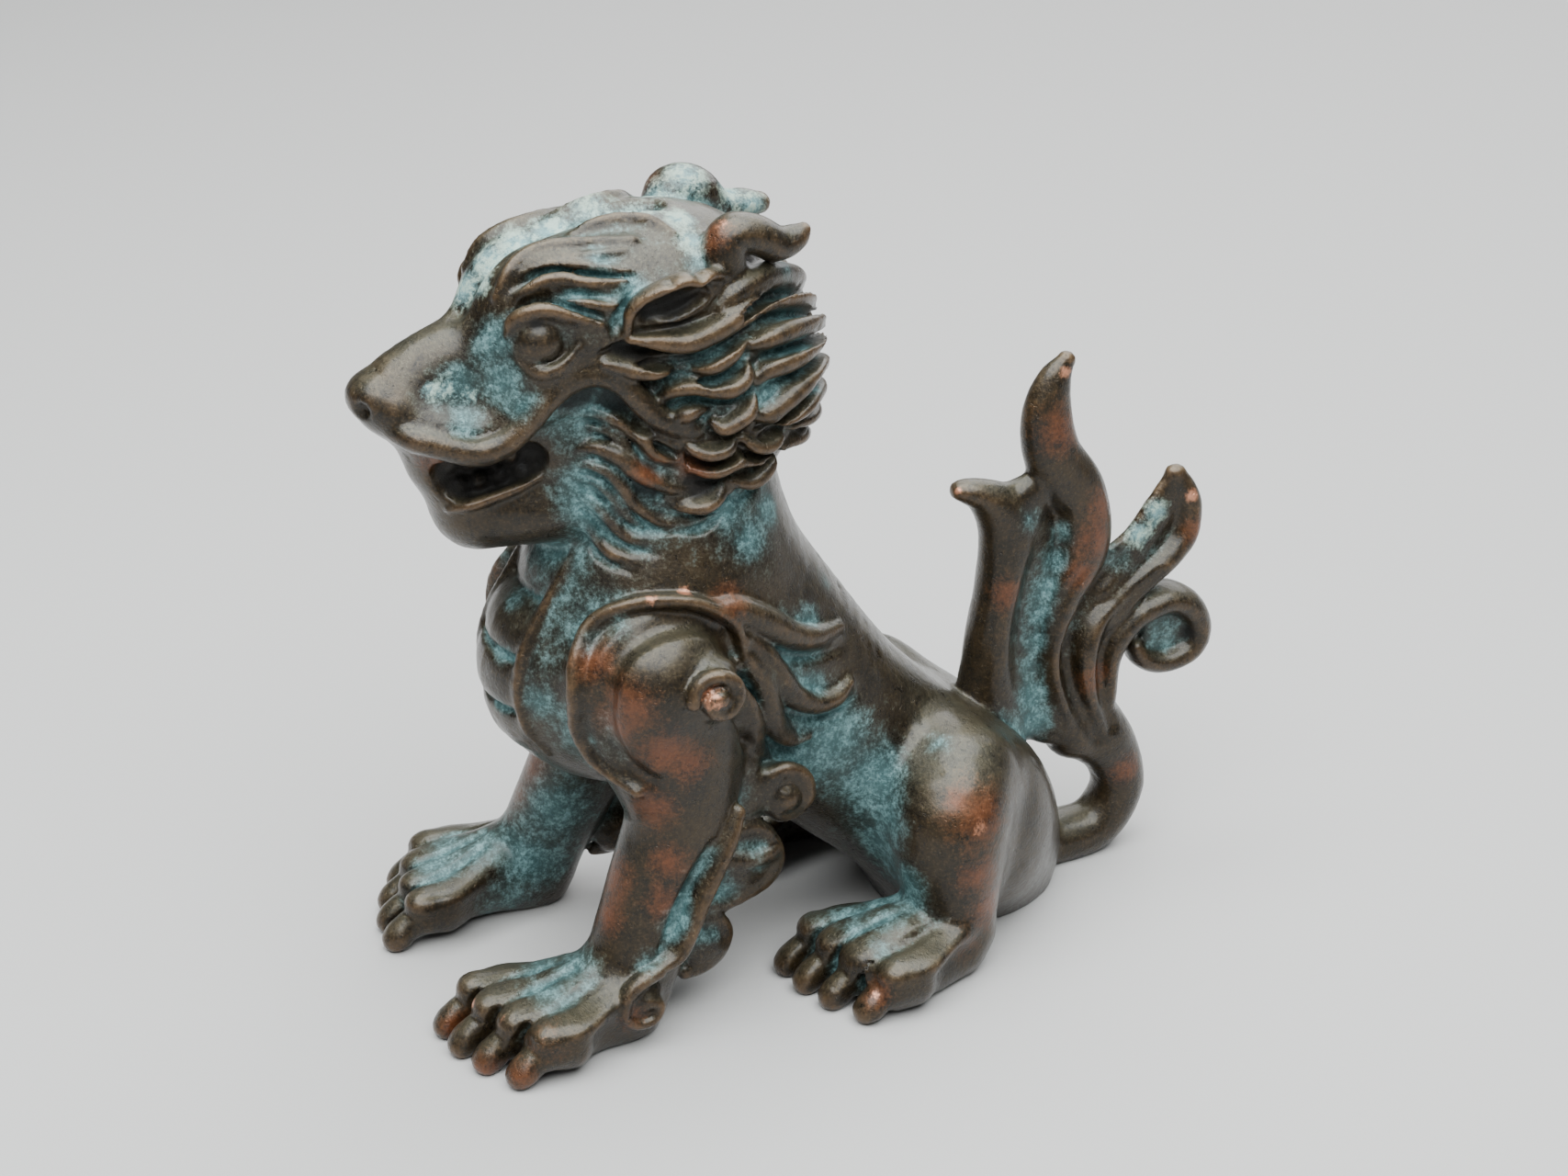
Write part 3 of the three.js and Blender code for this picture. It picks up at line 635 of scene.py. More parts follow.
def carve_tail(clay):
    """Flutes part the tongues and run down together into the stem."""
    flutes = [
        (2.1, 1.3, [
            (34.8, 48.4), (34.4, 44), (32.8, 40), (31.8, 35), (31.6, 29.8), (32.4, 24.2), (34.6, 19),
        ]),
        (0.9, 0.9, [
            (45.6, 41.2), (42.4, 38.8), (39.2, 35.6), (37.4, 31), (37.6, 26.2), (39.4, 21),
            (41.4, 17.4),
        ]),
        (0.7, 0.8, [(49.6, 38.4), (46.2, 36), (43, 32.4), (42, 28), (42.4, 23), (43.6, 18.6)]),
        (0.4, 0.4, [(38.6, 41.6), (35.6, 37.4), (34.2, 32), (34.4, 26.4), (36.4, 20.6)]),
    ]
    for half_width, depth, spots in flutes:
        clay.groove(clay.on_side, spots, half_width, depth=depth, over=0.8, ends=0.4, blend=0.6 + half_width)


def carve_mane(clay):
    """Locks sweep back over the ball of hair in rows, each place given as (turn, rise) in degrees.

    Like shingles, each row lies over the one below it, with a deep groove under its edge.
    """
    locks = [
        (2.0, [(-9, 43), (2, 48), (30, 52), (68, 43), (88, 32)]),
        (1.9, [
            (-46, 28), (-38, 29), (-26, 30), (-14, 34), (1, 40), (22, 44), (51, 38), (72, 30),
            (88, 24),
        ]),
        (1.8, [(7, 27), (17, 28), (34, 28), (54, 25), (72, 21), (88, 16)]),
        (1.7, [(-23, 20), (-15, 21), (-5, 26), (4, 31)]),
        (1.5, [(-54, 19), (-47, 19), (-38, 20), (-29, 23)]),
        (2.0, [(7, 11), (15, 15), (25, 16), (38, 17), (57, 17), (74, 13), (89, 8)]),
        (1.5, [(-39, 4), (-32, 10), (-22, 12), (-12, 10), (-4, 10), (2, 14), (2, 20)]),
        (1.8, [(7, -6), (14, -6), (23, -2), (33, 2), (46, 5), (66, 3), (89, -2)]),
        (1.4, [(-33, -5), (-26, -1), (-17, 2)]),
        (1.3, [(-16, -4), (-10, -9), (-3, -6), (3, -2), (5, 4)]),
        (1.6, [(9, -14), (19, -11), (32, -10), (44, -8), (64, -9), (89, -14)]),
        (1.2, [(-29, -15), (-24, -19), (-16, -22), (-7, -21), (-4, -17)]),
        (1.2, [(-1, -16), (8, -22), (18, -23), (27, -18)]),
        (1.6, [(34, -20), (50, -20), (68, -22), (89, -27)]),
        (1.4, [(-26, -29), (-14, -32), (-2, -28), (14, -30), (27, -27)]),
        (1.5, [(34, -33), (52, -32), (70, -34), (89, -38)]),
        (1.4, [(-10, -37), (8, -44), (22, -40), (25, -32)]),
        (1.3, [(-32, -42), (-19, -44), (-4, -44)]),
    ]
    for half_width, spots in reversed(locks):
        under = beside(spots, math.degrees(0.9 * half_width / MANE_RADIUS))
        clay.groove(clay.on_mane, under, 0.75, depth=0.9, over=2.2, ends=0.4)
        clay.ridge(clay.on_mane, spots, 0.8 * half_width, height=1.9, sink=0, ends=0.45, blend=0.35)


def carve_face(clay):
    """The lines of the brow run back over the head from a deep set eye, and hair fans out under the cheek."""
    ridges = [
        (1, 1.4, [
            (5.1, -35.4, 88.1), (4.8, -34, 89.8), (4.2, -32.4, 91.1), (4, -30, 92.2),
            (4.8, -26.7, 92.6), (6.5, -20.3, 92.8),
        ]),
        (0.8, 1.1, [
            (3.3, -26.2, 93), (3.1, -23.6, 93.8), (3.4, -20.4, 94), (4.4, -17.6, 93.8),
            (6.4, -15.6, 92.8),
        ]),
        (0.6, 0.9, [
            (5.2, -32.8, 90.5), (5.1, -31, 91.4), (5.4, -28.7, 91.7), (6.7, -25.6, 91.8),
            (7.4, -21.7, 92.2),
        ]),
        (0.7, 1, [(6, -32.3, 90.3), (6.2, -29.5, 91.1), (7.7, -26, 90.9), (9.2, -22.2, 90.5)]),
        (0.9, 1.3, [
            (6.9, -33.3, 88.7), (7.3, -31.2, 89.8), (7.7, -28.9, 90), (8.9, -26.4, 89.6),
            (9.8, -22.5, 89.6),
        ]),
        (0.7, 1, [(8.7, -30.5, 88.5), (9.9, -26.9, 87.8), (10.9, -23.9, 87.3)]),
        (1, 1.6, [
            (7.5, -35.1, 84.8), (7.7, -34.3, 86.2), (8.5, -32.8, 87.2), (9.3, -30.7, 87.4),
            (10.8, -25.7, 85.7),
        ]),
        (0.6, 0.5, [
            (8.4, -34.9, 83.8), (9, -34.4, 82.2), (9.7, -32.4, 80.9), (10.3, -30.4, 81.4),
            (10.7, -28.2, 83.4),
        ]),
    ]
    grooves = [
        (0.8, 1.1, [
            (6.2, -33.5, 89.3), (6.4, -31.7, 90.3), (6.8, -29.2, 90.6), (8.3, -26.2, 90.4),
            (9.9, -21.6, 89.9),
        ]),
        (0.4, 0.5, [(8.1, -31.3, 88.9), (9.5, -26.7, 88.6), (10.4, -24.2, 88.2)]),
        (0.7, 0.9, [
            (7, -34.9, 86.7), (8, -32.8, 87.9), (9.1, -30.2, 87.9), (10.2, -27, 87), (10.9, -25.2, 86),
        ]),
        (1, 1.5, [
            (11, -25.9, 82.4), (11.3, -23.9, 82.6), (11.6, -21.4, 82.7), (12.1, -17.4, 82.4),
            (12.3, -15.2, 82.7),
        ]),
        (0.7, 1, [(11.7, -22.5, 84.6), (11.9, -19.9, 84.8), (12.1, -16.9, 84.9), (11.8, -14.1, 85.4)]),
        (0.8, 1, [(10.7, -20.6, 89), (11.1, -22.8, 87.4), (11.3, -24.2, 85.6), (11.2, -24.6, 84.1)]),
    ]
    parting = [
        (0, -38.2, 85.6), (0, -36, 88.8), (0, -32.4, 91.8), (0, -27, 93.6), (0, -21, 94.6),
        (0, -16, 94),
    ]
    for side in BOTH:
        clay.egg((side * 11.5, -31.8, 84), (2.5, 3.8, 3.1), blend=0.8, cut=True)
        clay.egg((side * EYE[0], *EYE[1:]), (3.1, 3, 2.9), blend=0.3)
    clay.strand([(*place, 1.3, 1.1) for place in parting], blend=1.5, cut=True)
    for half_width, height, spots in ridges:
        clay.ridge(clay.near, spots, half_width, height=height, sink=0.05, ends=0.4, blend=0.8)
    for half_width, depth, spots in grooves:
        clay.groove(clay.near, spots, half_width, depth=depth, over=0.4, blend=0.6)
    carve_beard(clay)
    carve_mouth(clay)
    crease = [
        (0, -47, 79.9, 0.4, 0.4), (2, -46.9, 79, 0.4, 0.4), (3.6, -46.4, 77.4, 0.4, 0.4),
        (4, -46.2, 75.8, 0.4, 0.4),
    ]
    for side in BOTH:
        clay.strand(mirrored(side, crease), blend=0.5, cut=True)
        clay.egg((side * 2.4, -50, 76.6), (0.9, 1, 0.9), blend=0.6, cut=True)


def carve_beard(clay):
    """Strands of hair start behind the mouth and sweep down and back under the mane, parted by grooves."""
    strands = [
        (1.1, 1.5, [
            (-27.6, 74.7), (-26, 74.8), (-24.4, 74.2), (-22.6, 73.2), (-21.2, 71.9), (-20.2, 70.3),
            (-18.9, 69.3), (-17.2, 68.9),
        ]),
        (0.6, 1, [(-20.9, 72.6), (-19.2, 71.6), (-17.7, 70.6), (-17, 69.6)]),
        (0.5, 0.5, [(-26.6, 73.1), (-24.8, 72.6), (-23.2, 71.3), (-21.9, 69.7)]),
        (1.1, 1.3, [
            (-27.7, 70.7), (-26.1, 70.9), (-24.8, 70.4), (-23.4, 69.5), (-22.1, 68.1), (-20.5, 66.8),
            (-18.5, 65.7), (-16.9, 65.1),
        ]),
        (0.8, 1, [
            (-27.8, 69), (-26.4, 68.8), (-24.9, 68), (-23.6, 66.4), (-22.5, 64.5), (-21.2, 63),
            (-19.8, 61.8), (-18.3, 61.4),
        ]),
        (0.6, 0.7, [
            (-27.7, 67.2), (-26, 66.6), (-24.8, 65.3), (-23.7, 63.6), (-22.6, 62.2), (-21.4, 61.2),
        ]),
        (0.9, 0.9, [(-27.3, 64.8), (-26, 63.9), (-24.9, 62.5), (-23.7, 60.8), (-22.3, 59.8), (-20, 59.4)]),
        (0.8, 0.8, [(-26.9, 61.3), (-25.6, 59.3), (-24.6, 58.1), (-22.6, 57.3)]),
        (1, 1, [(-18.9, 64.4), (-16.4, 63.5), (-14.2, 63.6), (-12, 64.6), (-9.6, 66)]),
    ]
    for half_width, height, spots in strands:
        clay.groove(clay.on_side, beside(spots, half_width + 0.3), 0.5, depth=0.7, over=0.8, blend=0.5)
        clay.ridge(clay.on_side, spots, half_width, height=height, sink=0.1, ends=0.3, blend=0.5)


def carve_mouth(clay):
    """The mouth is open at the side, with two rows of blunt teeth in the hollow, under a rolled lip."""
    lip = [
        (2.6, -46.8, 75), (4, -46.4, 74.6), (6, -45.3, 74.3), (7, -42.7, 73.5), (7.8, -40.4, 72.8),
        (8.2, -38.5, 72.6), (8.6, -36, 73.4), (9, -33.7, 75.4), (9.2, -31.9, 77.4), (9.2, -29.8, 79),
        (9.6, -27.6, 80), (10, -25.4, 79.9), (10.4, -23.2, 78.6), (10.8, -21.7, 76.8),
        (11.1, -20, 74.9), (11.4, -18, 73.5), (11.6, -16, 72.8),
    ]
    hollow = [
        (4.6, -42, 68, 1.5, 2.4), (5, -39, 68.4, 2.4, 3.2), (5.6, -35.6, 68.8, 2.6, 2.9),
        (6.4, -32.8, 69.4, 2.2, 2.1),
    ]
    lower_lip = [(-41.6, 64.3), (-39.6, 65), (-37.5, 65.4), (-34.4, 66.1), (-31.5, 67.2)]
    for side in BOTH:
        clay.strand(mirrored(side, hollow), blend=0.4, cut=True)
        for tooth in range(4):
            y = -40.8 + TOOTH_PITCH * tooth
            x = side * (2.5 + 0.3 * tooth)
            clay.egg((x, y, 69.6 + 0.1 * tooth), (1.3, 1.25, 1.7), blend=0.3)
            clay.egg((x, y + 1, 66.4 + 0.3 * tooth), (1.3, 1.25, 1.3), blend=0.3)
        under = [(side * (x + 0.2), y + 0.2, z - 3, 1.5, 1.3) for x, y, z in lip[7:14]]
        clay.strand(under, blend=1, cut=True)
        clay.strand([(side * x, y, z - 0.3, 1.4, 1.4) for x, y, z in lip], blend=0.5)
        shelf = [(side * (x - 1), y + 0.2, z - 1.3, 1.5, 0.9) for x, y, z in lip[2:7]]
        clay.strand(shelf, blend=0.6)
    clay.ridge(clay.on_side, lower_lip, 0.7, height=1, sink=0, blend=0.4)


def carve_ear(clay, side):
    """An ear is a leaf laid back along the head, hollow on its outer face, with a rolled rim."""
    leaf = [
        (11, -21.4, 86.6, 1, 1.6), (11.4, -17.6, 87.2, 1.5, 2.2), (10.9, -13.6, 88, 1.2, 1.4),
        (10.3, -11.8, 88.6, 0.8, 0.8),
    ]
    hollow = [(12.9, -20.8, 86.5, 2, 1.5), (13.3, -17.8, 87, 2.6, 1.9), (12.8, -14.8, 87.9, 2, 1.3)]
    rim = [
        (10.6, -11.6, 89, 0.8, 0.6), (11.8, -13.8, 89.9, 1.1, 0.6), (12.6, -15.6, 89.7, 1.4, 0.6),
        (12.7, -17, 90.1, 1.5, 0.6), (12.4, -19.2, 89.5, 1.5, 0.6), (11.8, -21.4, 88.4, 1.3, 0.6),
        (11.7, -22.9, 86.8, 0.9, 0.6), (11.8, -23.2, 85, 0.5, 0.5),
    ]
    chips = [(13.6, -15.4, 90.6), (13.8, -19, 90.4)]
    clay.strand(mirrored(side, leaf), blend=0.6)
    clay.strand(mirrored(side, hollow), blend=0.3, cut=True)
    clay.strand(mirrored(side, rim), blend=0.3)
    for x, y, z in chips:
        clay.egg((side * x, y, z), (1.6, 0.8, 0.7), blend=0.3, cut=True)


def carve_breast(clay):
    """Broad plates lie one over another down the middle of the breast, between two raised borders."""
    for height in (55, 48.4, 42, 35.6):
        spots = [(x, height) for x in (0, 2, 4, 5.6)]
        clay.ridge(clay.on_front, spots, 3.2, height=1.3, sink=0.6, ends=1, blend=0.3)
    for height in (51.8, 45.2, 38.8):
        spots = [(x, height) for x in (0, 2, 4, 5.4)]
        clay.groove(clay.on_front, spots, 0.5, ends=1)
    border = [(5.8, 58), (5.6, 55), (5.6, 52), (5.8, 47.5), (6.1, 44), (6.2, 41), (6.4, 37), (6.8, 33.4)]
    clay.ridge(clay.on_front, border, 0.8, height=1, sink=0.1, blend=0.4)


def carve_shoulder(clay):
    """Each shoulder is a ball inside a ring that runs out into flames over the flank."""
    ring = [
        (-25.2, 32.4), (-28.4, 35.4), (-30.1, 39.4), (-30.6, 43.4), (-30, 47.2), (-27.8, 50.6),
        (-24.6, 52.6), (-20.9, 53.3), (-16.8, 52.7), (-13.2, 50.2), (-11.4, 47),
    ]
    flames = [
        (1.7, [(-14.6, 52), (-12.4, 51.4), (-10, 49.8), (-7, 47.4), (-4.4, 45.4), (-1, 44), (3, 43.4)]),
        (1.5, [(-11, 47.6), (-8.4, 44.6), (-6.4, 41), (-4.4, 38), (-1.6, 36.2), (1.2, 36), (3.4, 37)]),
        (1.5, [(-12.4, 47), (-10.4, 44), (-8.8, 41), (-7.8, 37.6), (-6.6, 34.4), (-4.6, 32.2), (-2.4, 32)]),
        (1.2, [(-13, 43), (-11.4, 39.4), (-10.2, 36), (-9, 32.6), (-7.2, 30)]),
    ]
    for half_width, spots in flames:
        clay.groove(clay.on_side, beside(spots, half_width + 0.5), 0.9, depth=1, over=1.4, blend=0.6)
        clay.ridge(clay.on_side, spots, half_width, height=1.7, sink=0, blend=0.6)
    clay.groove(clay.on_side, beside(ring, 1.7), 1.2, depth=1, over=1, ends=0.6, blend=1.4)
    clay.ridge(clay.on_side, ring, 1, height=1.5, sink=-0.2, ends=0.6, blend=0.5)
    snail = []
    for step, (c, s) in enumerate(turns(1.25, 30)):
        reach = 2.9 - 0.17 * step
        snail.append((21.6 - 0.3 * reach, KNOB[1] - c * reach, KNOB[2] + s * reach))
    clay.ridge(clay.near, snail, 1, height=1.2, sink=-0.3, ends=1, blend=0.2)
    for side in BOTH:
        clay.egg((side * 22, *KNOB[1:]), (0.9, 1.2, 1.2), blend=0.3)


def carve_elbow_hair(clay):
    """The hair behind the elbow hangs as a scroll and two leaves, and a rope runs down to the dew claw."""
    scroll = [
        (13.2, -9.6, 26.4), (13.6, -7.8, 28.4), (13.8, -5.6, 29), (13.8, -3.6, 27.6), (13.7, -3, 25.2),
        (13.6, -4.4, 23.4), (13.6, -6.4, 23.2), (13.8, -7, 24.8), (14, -5.8, 25.8),
    ]
    leaf = [
        (13.8, -12.4, 22.4), (13.8, -9.4, 22.2), (13.8, -7.6, 20), (13.8, -7, 17.2), (13.9, -8.4, 15),
        (14, -11.2, 13.8), (14.2, -14, 13.2), (14.6, -16, 13.8),
    ]
    lobe = [
        (14.6, -16.8, 12), (14.6, -14.8, 11.6), (14.6, -13.8, 9.4), (14.8, -15, 7.2), (15, -17.2, 5.8),
        (15.2, -19.4, 5.8),
    ]
    fold = [(14.8, -13.4, 19.2), (15.2, -11, 18.8), (14.9, -8.6, 18.9), (14.2, -7.2, 19.2)]
    rope = [
        (17.6, -13.6, 27.4), (18.4, -14.8, 24.6), (18.6, -16.6, 21.4), (18.7, -18.6, 17.6),
        (18.6, -20.3, 13.9), (18.6, -21.8, 11.2), (18.8, -24.2, 10),
    ]
    web = [(12.4, -12, 32), (12.6, -10.6, 28.6), (12.8, -10.4, 25.4)]
    dew_claw = [
        (19.6, -24.4, 9.8, 1.2, 1), (19.9, -26.4, 9.2, 1.2, 1), (20, -28.4, 7.6, 1.2, 0.9),
        (20, -28.8, 5.4, 1.2, 0.9), (20, -27.2, 3.8, 1.1, 0.8), (20.1, -25.2, 4, 1, 0.7),
        (20.2, -24.4, 5.6, 0.9, 0.7), (20.2, -26, 6.6, 0.9, 0.9),
    ]
    clay.groove(clay.near, [(x + 0.8, y - 2, z) for x, y, z in rope[1:6]], 0.8, depth=0.8, blend=0.8)
    clay.ridge(clay.near, rope, 1.1, height=1.7, sink=-0.2, ends=0.75, blend=0.4)
    for side in BOTH:
        for outline, radius in ((scroll, 1), (leaf, 1), (lobe, 0.9), (fold, 0.8)):
            clay.strand([(side * x, y, z, 0.9 * radius, radius) for x, y, z in outline], blend=0.5)
        clay.strand([(side * x, y, z, 1.8, 2.2) for x, y, z in web], blend=1.5)
        clay.egg((side * 12, -6.4, 26), (2.6, 3.6, 3.4), blend=1.2)
        clay.egg((side * 13.2, -5.8, 25.4), (2.2, 2, 2), blend=0.6)
        clay.egg((side * 13.2, -11.8, 17.8), (2.2, 4.6, 4.2), blend=1)
        clay.egg((side * 14.2, -16.8, 8.6), (2.2, 3, 3), blend=1)
        clay.egg((side * 18.4, -26.2, 6.2), (2.4, 2.6, 2.6), blend=0.8)
        clay.strand(mirrored(side, dew_claw), blend=0.3)


def stand_on_ground(clay):
    """Everything below Z = 0 is cut away flat."""
    z = clay.coordinates(tuple(slice(0, count) for count in clay.counts))[2]
    clay.field = np.maximum(clay.field, -z)


def sculpt():
    clay = Clay(LOW, HIGH, GRID)
    model_trunk(clay)
    model_head(clay)
    model_foreleg(clay, LEFT, FOREPAW_LEFT)
    model_foreleg(clay, RIGHT, FOREPAW_RIGHT)
    for side in BOTH:
        model_hind_leg(clay, side)
        model_shoulder(clay, side)
    model_tail(clay)
    clay.settle()
    carve_toes(clay, LEFT, FOREPAW_LEFT, FOREPAW_FRONT)
    carve_toes(clay, RIGHT, FOREPAW_RIGHT, FOREPAW_FRONT)
    carve_breast(clay)
    carve_shoulder(clay)
    carve_mane(clay)
    carve_face(clay)
    carve_elbow_hair(clay)
    for side in BOTH:
        carve_toes(clay, side, HINDPAW, HINDPAW_FRONT)
        carve_ear(clay, side)
        model_horn(clay, side)
    carve_tail(clay)
    stand_on_ground(clay)
    return clay


def mesh_from(name, corners, faces):
    mesh = bpy.data.meshes.new(name)
    mesh.from_pydata(corners.tolist(), [], faces.tolist())
    mesh.update()
    return mesh


def linked(name, mesh):
    piece = bpy.data.objects.new(name, mesh)
    bpy.context.scene.collection.objects.link(piece)
    return piece


def applied(piece):
    """The piece's mesh becomes what its modifiers make of it, and the modifiers go."""
    view = bpy.context.evaluated_depsgraph_get()
    done = bpy.data.meshes.new_from_object(piece.evaluated_get(view))
    piece.modifiers.clear()
    piece.data = done


def patch_strength(points, patches):
    """How strongly patches of [x, y, z, radius] reach each point: 1 in a patch's middle, 0.5 at its edge.

    Those on the left flank, above the paws, are repeated on the right one.
    """
    strength = np.zeros(len(points), np.float32)
    outer = [(-x, y, z, radius) for x, y, z, radius in patches if x > FLANK and z > PAW_TOP]
    for x, y, z, radius in patches + outer:
        away = np.linalg.norm(points - (x, y, z), axis=1) / radius
        strength = np.maximum(strength, 1 - away / 2)
    return strength


def add_values(mesh, name, values):
    attribute = mesh.attributes.new(name, "FLOAT", "POINT")
    attribute.data.foreach_set("value", np.ascontiguousarray(values, np.float32))


def casting_piece(clay):
    corners, faces = clay.skin()
    piece = linked("beast_casting", mesh_from("beast_casting", corners, faces))
    thin = piece.modifiers.new("thin", "DECIMATE")
    thin.ratio = min(1, SKIN_TRIANGLES / (2 * len(faces)))
    applied(piece)
    mesh = piece.data
    points = np.empty(3 * len(mesh.vertices), np.float32)
    mesh.vertices.foreach_get("co", points)
    points = points.reshape(-1, 3)
    fine = clay.sample(clay.blurred(limit=1.6, reach=0.8), points)
    broad = clay.sample(clay.blurred(limit=4, reach=2.6), points)
    add_values(mesh, "fine_relief", fine)
    add_values(mesh, "broad_relief", broad)
    for name, patches in PATCHES.items():
        add_values(mesh, name, patch_strength(points, patches))
    add_values(mesh, "upward", clay.slope(clay.field, points)[:, 2])
    points = (points - (*FOOTPRINT_MIDDLE, 0)) * MM
    mesh.vertices.foreach_set("co", points.ravel())
    mesh.polygons.foreach_set("use_smooth", np.ones(len(mesh.polygons), bool))
    mesh.update()
    return piece


def shade(colour):
    """A colour in the light values that a shader takes."""
    shares = [value / 255 for value in colour]
    return (*(s / 12.92 if s <= 0.04045 else ((s + 0.055) / 1.055) ** 2.4 for s in shares), 1)


def node(tree, kind, inputs=None, **settings):
    """A new node, with its inputs set to numbers or joined to other nodes' outputs."""
    made = tree.nodes.new(kind)
    for name, value in settings.items():
        setattr(made, name, value)
    for name, value in (inputs or {}).items():
        if isinstance(value, bpy.types.NodeSocket):
            tree.links.new(value, made.inputs[name])
        else:
            made.inputs[name].default_value = value
    return made


def maths(tree, operation, *values):
    return node(tree, "ShaderNodeMath", dict(enumerate(values)), operation=operation).outputs[0]


def rise(tree, value, low, high):
    """0 where the value is under "low", 1 over "high", and a smooth step between them."""
    inputs = {"Value": value, "From Min": low, "From Max": high}
    return node(tree, "ShaderNodeMapRange", inputs, interpolation_type="SMOOTHSTEP").outputs[0]


def mixed(tree, share, first, second):
    inputs = {"Factor": share, 6: first, 7: second}
    return node(tree, "ShaderNodeMix", inputs, data_type="RGBA").outputs[2]


def blended(tree, share, first, second):
    inputs = {"Factor": share, 2: first, 3: second}
    return node(tree, "ShaderNodeMix", inputs, data_type="FLOAT").outputs[0]


def noise(tree, where, size, detail=3, roughness=0.55):
    """Cloudy noise with features of about that size in millimetres."""
    inputs = {"Vector": where, "Scale": 1 / (size * MM), "Detail": detail, "Roughness": roughness}
    return node(tree, "ShaderNodeTexNoise", inputs).outputs["Fac"]


def patinated_brass():
    """Olive brown brass with verdigris in its hollows, warm rubbed places, dusty tops with a painted sheen, a
    pale crust that also paints a highlight on the muzzle, and painted shade in its creases.
    """
    material = bpy.data.materials.new("patinated_brass")
    material.use_nodes = True
    tree = material.node_tree
    shader = tree.nodes["Principled BSDF"]
    where = node(tree, "ShaderNodeTexCoord").outputs["Object"]
    given = {
        name: node(tree, "ShaderNodeAttribute", attribute_name=name).outputs["Fac"]
        for name in ("fine_relief", "broad_relief", "upward", *PATCHES)
    }
    cloud = noise(tree, where, 6)
    mottle = noise(tree, where, 1.6, detail=6, roughness=0.7)
    speckle = noise(tree, where, 0.4, detail=4, roughness=0.75)

    def times(value, share):
        return maths(tree, "MULTIPLY", value, share)

    def plus(value, share, other):
        return maths(tree, "MULTIPLY_ADD", value, share, other)

    # Bare bronze, with paler specks
    tone = plus(speckle, 0.35, plus(mottle, 0.4, times(cloud, 0.35)))
    skin = mixed(tree, rise(tree, tone, 0.42, 0.68), shade(DARK_BRONZE), shade(MID_BRONZE))
    specks = rise(tree, speckle, 0.55, 0.72)
    skin = mixed(tree, times(specks, SPECKS_COVER), skin, shade(PALE_BRONZE))

    # Edges are worn to brown, and dust with a painted sheen lies on what faces up
    worn = rise(tree, plus(mottle, 0.6, given["fine_relief"]), 0.4, 0.95)
    skin = mixed(tree, times(worn, EDGES_COVER), skin, shade(EDGE_BROWN))
    dust_and_sheen = plus(speckle, 0.5, plus(mottle, 0.8, given["upward"]))
    dust_and_sheen = rise(tree, dust_and_sheen, 0.95, 1.8)
    skin = mixed(tree, times(dust_and_sheen, DUST_AND_SHEEN_COVERS), skin, shade(DUST_AND_SHEEN))

    # Hands have rubbed some places to orange
    rub = plus(speckle, 0.6, plus(mottle, 1.1, given["rubbed"]))
    rub = rise(tree, rub, 1.1, 1.95)
    skin = mixed(tree, times(rub, RUBBING_COVERS), skin, shade(RUBBED_ORANGE))

    # Verdigris grows in the hollows of damp regions and over the placed patches
    hollow = plus(given["broad_relief"], -0.5, 0.25)
    hollow = plus(given["fine_relief"], -0.6, hollow)
    hollow = times(hollow, rise(tree, given["damp"], 0.2, 0.8))
    damp = plus(given["verdigris"], 0.7, plus(given["damp"], 0.3, hollow))
    damp = plus(speckle, 0.3, plus(mottle, 0.9, plus(cloud, 0.4, damp)))
    green = rise(tree, damp, 1.05, 1.9)
    pale = rise(tree, plus(speckle, 0.4, mottle), 0.6, 0.95)
    verdigris = mixed(tree, pale, shade(VERDIGRIS), shade(PALE_VERDIGRIS))
    skin = mixed(tree, times(green, VERDIGRIS_COVERS), skin, verdigris)

    # Tips and bosses are rubbed bright, and a pale crust lies over the crown; on the muzzle's side its
    # colours paint a highlight of pale flecks
    shine = rise(tree, plus(mottle, 0.9, given["bright"]), 1, 1.3)
    skin = mixed(tree, times(shine, BRIGHT_COVERS), skin, shade(BRIGHT_COPPER))
    crust_and_highlight_share = rise(tree, plus(speckle, 0.4, plus(mottle, 1.1, given["crust_and_highlight"])), 1, 1.6)
    crust_and_highlight = mixed(tree, rise(tree, mottle, 0.44, 0.56), shade(PALE_VERDIGRIS), shade(PALE_CRUST_AND_HIGHLIGHT))
    skin = mixed(tree, times(crust_and_highlight_share, CRUST_AND_HIGHLIGHT_COVERS), skin, crust_and_highlight)

    # Painted shade darkens the deep creases and the places of the painted shade patches
    crevice_shade = plus(given["painted_shade"], 1.3, times(given["fine_relief"], -1))
    crevice_shade = plus(given["broad_relief"], -0.25, crevice_shade)
    crevice_shade = rise(tree, crevice_shade, 0.4, 1)
    skin = mixed(tree, times(crevice_shade, PAINTED_SHADE_COVERS), skin, shade(PAINTED_CREVICE_SHADE))
    tree.links.new(skin, shader.inputs["Base Color"])

    # Verdigris, crust and the painted shade in the creases are dull, and the bronze between them is glossy
    dull = maths(tree, "MAXIMUM", times(green, 0.6), crust_and_highlight_share)
    dull = maths(tree, "MAXIMUM", times(crevice_shade, 0.9), dull)
    finish = blended(tree, rise(tree, mottle, 0.3, 0.7), 0.26, 0.42)
    tree.links.new(blended(tree, dull, finish, 0.7), shader.inputs["Roughness"])
    metal = blended(tree, dull, 0.5, 0.05)
    tree.links.new(blended(tree, shine, metal, 0.85), shader.inputs["Metallic"])
    tree.links.new(blended(tree, dull, 0.6, 0.05), shader.inputs["Coat Weight"])
    shader.inputs["Coat Roughness"].default_value = 0.24
    shader.inputs["Coat IOR"].default_value = 1.4
    shader.inputs["Specular IOR Level"].default_value = 0.3

